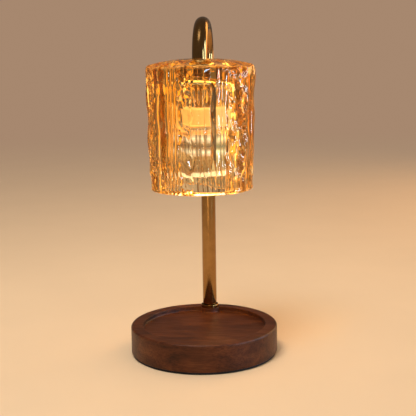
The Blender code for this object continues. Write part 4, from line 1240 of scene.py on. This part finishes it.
@dataclass
class Lampholder(Assembly):
    """Enamelled cup over the ceramic lampholder, with the two screws that hold them together."""

    top: float = 237.35 * MM
    height: float = 18.0 * MM
    radius: float = 25.0 * MM
    wall: float = 1.2 * MM
    shoulder: float = 2.5 * MM
    bead: float = 0.8 * MM
    bead_start: float = 0.62 * math.pi
    bore: float = 5.3 * MM
    screw_x: float = 11.053 * MM
    screw_hole: float = 1.6 * MM
    spacing: float = 4 * MM
    rows: int = 12
    columns: int = 120
    drill_columns: int = 24

    def curve(self, inset: float) -> np.ndarray:
        """Quarter circle from the cup's top to its skirt, inset by a wall.

        Args:
            inset: The wall.

        Returns:
            Points by two.
        """
        turn = np.linspace(0, math.pi / 2, self.rows)
        reach = self.shoulder - inset
        middle, level = self.radius - self.shoulder, self.top - self.shoulder
        return side_by_side(middle + reach * np.sin(turn), level + reach * np.cos(turn))

    def cup_outline(self) -> np.ndarray:
        """The cup's section: flat top, a quarter circle to the skirt outside, a rolled edge below, and the
        same curve inset by the wall inside.

        Returns:
            Points by two.
        """
        edge = self.top - self.height
        turn = np.linspace(self.bead_start, -math.pi / 2, self.rows)
        bead = side_by_side(self.radius + self.bead * np.cos(turn), edge + self.bead * (1 + np.sin(turn)))
        bead[:, 0] = np.clip(bead[:, 0], self.radius - self.wall, self.radius + self.bead)
        inner_edge = [[self.radius - self.wall, edge + 0.3 * MM]]
        hole = [[self.bore, self.top - self.wall], [self.bore, self.top]]
        outline = [self.curve(0.0), bead, inner_edge, self.curve(self.wall)[::-1], hole]
        return finer(np.concatenate(outline), self.spacing, closed=True)

    def screw_drill(self, side: int) -> Piece:
        """Drill for one of the two screw holes in the cup's top.

        Args:
            side: Where it stands, -1 or 1 along X.

        Returns:
            The drill.
        """
        low, high = self.top - 2 * self.wall, self.top + self.wall
        ends = np.array([[self.screw_hole, low], [self.screw_hole, high]])
        rings = turned(ends, self.drill_columns, self.axis_y)
        rings[..., 0] += side * self.screw_x
        return skin("screw_drill", rings, rows_meet=False)

    def build(self) -> None:
        """Makes the cup, and dresses the holder and its screws."""
        cup = skin("enamel_cup", turned(self.cup_outline(), self.columns, self.axis_y), rows_meet=True)
        for side in (-1, 1):
            carve(cup, self.screw_drill(side), 35)
        self.add(cup, ENAMEL.make(), Slot.ENAMEL, "socket_cup")
        self.dress(ZINC_SCREW.make(), "holder_screw_1", "holder_screw_2")
        self.dress(CERAMIC.make(), "socket_body")


@dataclass
class ReflectorBulb(Assembly):
    """Lit reflector bulb: faceted bowl, pebbled lens and capsule on a ceramic base with two pins."""

    body: Body = Body.BULB
    neck_top: float = 217.55 * MM
    bowl_top: float = 216.05 * MM
    rim_top: float = 179.05 * MM
    face: float = 175.05 * MM
    neck_radius: float = 16.0 * MM
    rim_radius: float = 25.0 * MM
    wall: float = 1.3 * MM
    bowl_curve: float = 2.2
    bowl_rows: int = 30
    facet_depth: float = 0.25 * MM
    facets: int = 15
    facet_columns: int = 10
    waves: int = 7
    ledge: float = 0.65 * MM
    lens_thickness: float = 2.2 * MM
    lens_columns: int = 144
    pebble_height: float = 0.35 * MM
    pebble_rows: int = 48
    pebbles_round: int = 6
    gap: float = 0.3 * MM
    capsule_radius: float = 4.5 * MM
    capsule_top: float = 216.25 * MM
    capsule_length: float = 24.0 * MM
    capsule_round: float = 2.7 * MM
    capsule_columns: int = 40

    def bowl(self, inset: float) -> np.ndarray:
        """The bowl's section, inset by a wall: radius follows the sine of the way down, and the drop follows
        the way to the power of the bowl's curve.

        Args:
            inset: How far inside the outer face it lies.

        Returns:
            Points by two.
        """
        share = np.linspace(0, 1, self.bowl_rows)
        neck, rim = self.neck_radius - inset, self.rim_radius - inset
        drop = (self.bowl_top - self.rim_top) * share**self.bowl_curve
        curve = side_by_side(neck + (rim - neck) * np.sin(math.pi / 2 * share), self.bowl_top - drop)
        return np.concatenate([[[neck, self.neck_top]], curve])

    def reflector_rings(self) -> np.ndarray:
        """The bowl outside, its rim, the lens seat and the bowl inside, whose radius is pressed into facets:
        each is flat across, so it lies in by one less the square of the way from its middle, and waves down
        the bowl part it from the next.

        Returns:
            Rows by columns by three.
        """
        inner_rim = self.rim_radius - self.wall
        ledge, seat = inner_rim - self.ledge, self.face + self.lens_thickness + 2 * self.gap
        outer, inner = self.bowl(0.0), self.bowl(self.wall)
        corners = [
            (self.rim_radius, self.rim_top - 0.2 * MM, 0),
            (self.rim_radius, self.face, 0.6 * MM),
            (inner_rim, self.face, 0.3 * MM),
            (inner_rim, seat, 0),
            (ledge, seat, 0),
            (ledge, seat + self.ledge, 0),
        ]
        outer = np.concatenate([outer, rounded(corners, steps=4)])
        outline = np.concatenate([outer, inner[inner[:, 0] < ledge - self.gap][::-1]])
        turn = turns(self.facets * self.facet_columns)
        rings = turned(outline, len(turn), self.axis_y)
        flat = self.facet_depth * (0.25 - ((turn * self.facets / TURN) % 1 - 0.5) ** 2) * 4
        down = np.clip((self.bowl_top - outline[:, 1]) / (self.bowl_top - self.rim_top), 0, 1)
        steps = 0.5 + 0.5 * np.cos(TURN * self.waves * down)
        pressed = (np.sin(np.pi * down) ** 0.5 * (0.6 + 0.4 * steps))[:, None] * flat
        pressed[len(outer):] *= -1
        rings[..., 0] -= pressed * np.cos(turn)
        rings[..., 1] -= pressed * np.sin(turn)
        return rings

    def lens_rings(self) -> np.ndarray:
        """The lens: a disc whose lower face is pressed into rows of pebbles, each a wave round times a wave
        outward.

        Returns:
            Rows by columns by three.
        """
        radius = self.rim_radius - self.wall - self.gap
        bottom, top = self.face - self.gap, self.face + self.lens_thickness + self.gap
        out = np.linspace(0.04, 0.94, self.pebble_rows)
        corners = [
            (radius * 0.95, bottom, 0),
            (radius, bottom + 0.6 * MM, 0.6 * MM),
            (radius, top, 0.2 * MM),
            (radius * 0.3, top, 0),
        ]
        outline = np.concatenate([side_by_side(radius * out, bottom), rounded(corners, steps=4)])
        rings = turned(outline, self.lens_columns, self.axis_y)
        whole = np.round(out * self.pebbles_round) * self.pebbles_round
        count = np.maximum(self.pebbles_round, whole)[:, None]
        outward = np.cos(TURN * self.waves * out)[:, None]
        pebbles = 0.5 + 0.5 * np.cos(count * turns(self.lens_columns)) * outward
        rings[: len(out), :, 2] += self.pebble_height * pebbles
        return rings

    def build(self) -> None:
        """Makes the bowl, the lens and the capsule, and dresses the ceramic base and the pins."""
        coat = GlowingCoat(self.face, self.neck_top, self.axis_y, self.facets).make()
        bowl = skin("faceted_bowl", self.reflector_rings(), rows_meet=True, sharp=30)
        self.add(bowl, coat, Slot.MIRROR, "bulb_reflector")
        lens_glass = LitGlass("lit_lens", (1.0, 0.72, 0.38), (1.0, 0.56, 0.22), 1.9)
        lens = skin("pebbled_lens", self.lens_rings(), rows_meet=False, sharp=40)
        self.add(lens, lens_glass.make(), Slot.LIT_GLASS, "bulb_lens")
        lit = LitGlass("lit_capsule", (1.0, 0.90, 0.70), (1.0, 0.78, 0.48), 8.0, 900)
        low, hub = self.capsule_top - self.capsule_length, self.capsule_radius / 3
        corners = [
            (hub, self.capsule_top, 0),
            (self.capsule_radius, self.capsule_top, 0.3 * MM),
            (self.capsule_radius, low, self.capsule_round),
            (hub, low, 0),
        ]
        rings = turned(rounded(corners, steps=8), self.capsule_columns, self.axis_y)
        self.add(skin("lit_capsule", rings, rows_meet=False), lit.make(), Slot.LIT_GLASS, "bulb_capsule")
        self.dress(BULB_CERAMIC.make(), "bulb_base")
        self.dress(TINNED.make(), "bulb_pin_1", "bulb_pin_2")


# Studio and camera


@dataclass(frozen=True)
class Softbox:
    """A plain area lamp that points at the object's middle, from directions in degrees."""

    name: str
    azimuth: float
    elevation: float
    distance: float
    width: float
    height: float
    power: float
    colour: Colour
    duty: Duty

    def light(self, target: Vector) -> None:
        """Hangs the lamp round a target.

        Args:
            target: What it points at.
        """
        turn, climb = math.radians(self.azimuth), math.radians(self.elevation)
        way = Vector((math.sin(turn) * math.cos(climb), -math.cos(turn) * math.cos(climb), math.sin(climb)))
        data = bpy.data.lights.new(self.name, "AREA")
        data.shape, data.size, data.size_y = "RECTANGLE", self.width, self.height
        data.energy, data.color = self.power, self.colour
        lamp = put(self.name, data)
        lamp.location = target + way * self.distance
        lamp.rotation_euler = way.to_track_quat("Z", "Y").to_euler()
        lamp.visible_camera = False
        lamp.visible_diffuse, lamp.visible_glossy, lamp.visible_transmission = self.duty.value


SOFTBOXES = (
    Softbox("key_light", -22, 66, 1.6, 0.6, 0.6, 20.0, (1.0, 0.95, 0.88), Duty.MATT),
    Softbox("key_glint", -22, 66, 1.6, 0.32, 0.38, 15.0, (1.0, 0.95, 0.88), Duty.GLOSS),
    Softbox("side_light", 140, 20, 1.4, 0.50, 0.9, 6.5, (1.0, 0.56, 0.20), Duty.ALL),
    Softbox("window_light", 62, 3, 1.2, 0.10, 0.85, 7.0, (0.50, 0.76, 1.0), Duty.GLOSS),
    Softbox("pane_light", 100, 14, 1.2, 0.26, 0.60, 7.0, (0.50, 0.76, 1.0), Duty.GLOSS),
    Softbox("glow_right", 136, 8, 1.2, 0.30, 0.9, 1.9, (1.0, 0.36, 0.012), Duty.GLASS),
    Softbox("glow_left", -128, 8, 1.2, 0.38, 0.9, 2.8, (1.0, 0.36, 0.012), Duty.GLASS),
    Softbox("glow_back_right", 144, 27, 1.6, 0.75, 0.75, 3.6, (1.0, 0.38, 0.015), Duty.GLASS),
    Softbox("glow_back_left", -144, 27, 1.6, 0.75, 0.75, 3.6, (1.0, 0.38, 0.015), Duty.GLASS),
    Softbox("glow_low", 180, 9, 1.6, 1.6, 0.20, 1.6, (1.0, 0.40, 0.02), Duty.GLASS),
    Softbox("glow_top", 180, 78, 1.2, 0.8, 0.8, 7.0, (1.0, 0.52, 0.12), Duty.GLASS),
    Softbox("candle_glint", -4, -9, 0.6, 0.045, 0.10, 0.10, (1.0, 0.74, 0.38), Duty.GLOSS),
)


@dataclass(frozen=True)
class Studio:
    """Pale floor and plain soft light. A flag's stop is (way round from +Y in half turns, light)."""

    floor_colour: Colour = (0.76, 0.55, 0.35)
    cloud_gain: float = 1.03
    backdrop: Colour = (0.385, 0.245, 0.158)
    mirrored: Colour = (0.14, 0.11, 0.085)
    through: Colour = (0.21, 0.15, 0.105)
    flag_stops: tuple = (
        (0.0, 1), (0.12, 1), (0.2, 0.3), (0.42, 0.1), (0.46, 0.8),
        (0.54, 0.8), (0.58, 0.1), (0.7, 0.1), (0.8, 1),
    )
    soft_light: Colour = (1.0, 0.97, 0.93)
    ambient: float = 0.42
    floor_rings: tuple = (0.01, 0.15, 0.4, 1.0, 2.0, 6.0)
    floor_columns: int = 96
    fade: Range = (0.35, 2.2)
    middle: float = 0.15

    def lay_floor(self) -> None:
        """A large round floor under the lamp that runs into the backdrop far away, so that no line parts
        them. Gloss and glass see the far floor darker."""
        columns = self.floor_columns
        flat = ring(np.array(self.floor_rings)[:, None], turns(columns), 0.0)
        points = np.concatenate([flat.reshape(-1, 3), [[0, 0, 0]]])
        fan = [(len(points) - 1, step, (step + 1) % columns) for step in range(columns)]
        quads = grid_quads(len(flat), columns, rows_meet=False)[:, ::-1]
        mesh = bpy.data.meshes.new("studio_floor")
        mesh.from_pydata(points.tolist(), [], quads.tolist() + fan)
        floor = put("studio_floor", mesh)
        recipe = Recipe("studio_floor")
        cloud = recipe.noise(recipe.place(), 9, 3, 0.5)
        bright = tuple(value * self.cloud_gain for value in self.floor_colour)
        recipe.shade(
            Base_Color=recipe.ramp(cloud, (0.3, self.floor_colour), (0.7, bright)),
            Roughness=recipe.between(cloud, 0.3, 0.7, 0.9, 1.0),
            Specular_IOR_Level=0.0,
        )
        mirrored = recipe.mix(recipe.ray("Is Glossy Ray"), self.backdrop, self.mirrored)
        seen = recipe.mix(recipe.ray("Is Transmission Ray"), mirrored, self.through)
        far = recipe.node("ShaderNodeEmission", Color=seen)
        fading = recipe.choose(recipe.between(recipe.reach(), *self.fade, 0.0, 1.0), recipe.shader, far)
        recipe.feed(recipe.output.inputs["Surface"], fading.outputs[0])
        mesh.materials.append(recipe.material)

    def flags(self, nodes: Nodes) -> Socket:
        """The backdrop as glass sees it, with two dark flags on each side, which draw the lines of clear
        glass. They hang by the angle between the way out and the +Y axis.

        Args:
            nodes: The world's nodes.

        Returns:
            The colour.
        """
        turn = nodes.maths("ARCTAN2", nodes.part_of(nodes.here, "X"), nodes.part_of(nodes.here, "Y"))
        share = nodes.maths("DIVIDE", nodes.maths("ABSOLUTE", turn), math.pi)
        stops = ((place, tuple(light * value for value in self.through)) for place, light in self.flag_stops)
        return nodes.ramp(share, *stops)

    def hang_backdrop(self) -> None:
        """The world: an even soft light, and a plain backdrop where the camera, gloss or glass looks past."""
        world = bpy.data.worlds.new("studio")
        bpy.context.scene.world = world
        world.use_nodes = True
        nodes = Nodes(world.node_tree, "Generated")
        shown = nodes.tree.nodes["Background"]
        nodes.feed(shown.inputs["Color"], self.soft_light)
        nodes.feed(shown.inputs["Strength"], self.ambient)
        pictures = {
            "Is Camera Ray": self.backdrop,
            "Is Glossy Ray": self.mirrored,
            "Is Transmission Ray": self.flags(nodes),
        }
        for ray, picture in pictures.items():
            shown = nodes.choose(nodes.ray(ray), shown, nodes.node("ShaderNodeBackground", Color=picture))
        nodes.feed(nodes.tree.nodes["World Output"].inputs["Surface"], shown.outputs[0])

    def build(self) -> None:
        """Lays the floor, hangs the backdrop and lights the lamps."""
        self.lay_floor()
        self.hang_backdrop()
        for box in SOFTBOXES:
            box.light(Vector((0.0, 0.0, self.middle)))
        cycles = bpy.context.scene.cycles
        cycles.max_bounces = cycles.transparent_max_bounces = 24
        cycles.transmission_bounces = 20
        cycles.glossy_bounces = 8
        cycles.diffuse_bounces = 4


@dataclass(frozen=True)
class Viewpoint:
    """Camera at the photograph's angle. Angles are in degrees, and lens and sensor in millimetres."""

    azimuth: float = 6.2
    distance: float = 896.0 * MM
    height: float = 298.0 * MM
    pitch: float = 9.99
    lens: float = 83.5
    sensor: float = 36.0
    clip: Range = (0.01, 50.0)
    pan: float = 0.34
    roll: float = -0.8

    def build(self) -> None:
        """Stands the camera at its place: it looks level at the base, then turns by the pan, tips down by the
        pitch and rolls."""
        data = bpy.data.cameras.new("camera")
        data.lens, data.sensor_width = self.lens, self.sensor
        data.clip_start, data.clip_end = self.clip
        turn = math.radians(self.azimuth)
        heading = Matrix.Rotation(turn - math.radians(self.pan), 4, "Z")
        tip = Matrix.Rotation(math.radians(90 - self.pitch), 4, "X")
        roll = Matrix.Rotation(math.radians(self.roll), 4, "Z")
        place = Vector((self.distance * math.sin(turn), -self.distance * math.cos(turn), self.height))
        camera = put("camera", data)
        camera.matrix_world = Matrix.Translation(place) @ heading @ tip @ roll
        bpy.context.scene.camera = camera


def main() -> None:
    """Sets the view and the light, and builds the lamp from its base to its bulb."""
    logging.basicConfig(level=logging.INFO, format="%(message)s")
    bpy.context.scene.view_settings.view_transform = "Standard"
    Viewpoint().build()
    Studio().build()
    for assembly in (Base(), Neck(), PressedShade(), ShadeSeat(), Lampholder(), ReflectorBulb()):
        LOG.info("building %s", type(assembly).__name__)
        assembly.build()


if __name__ == "__main__":
    main()
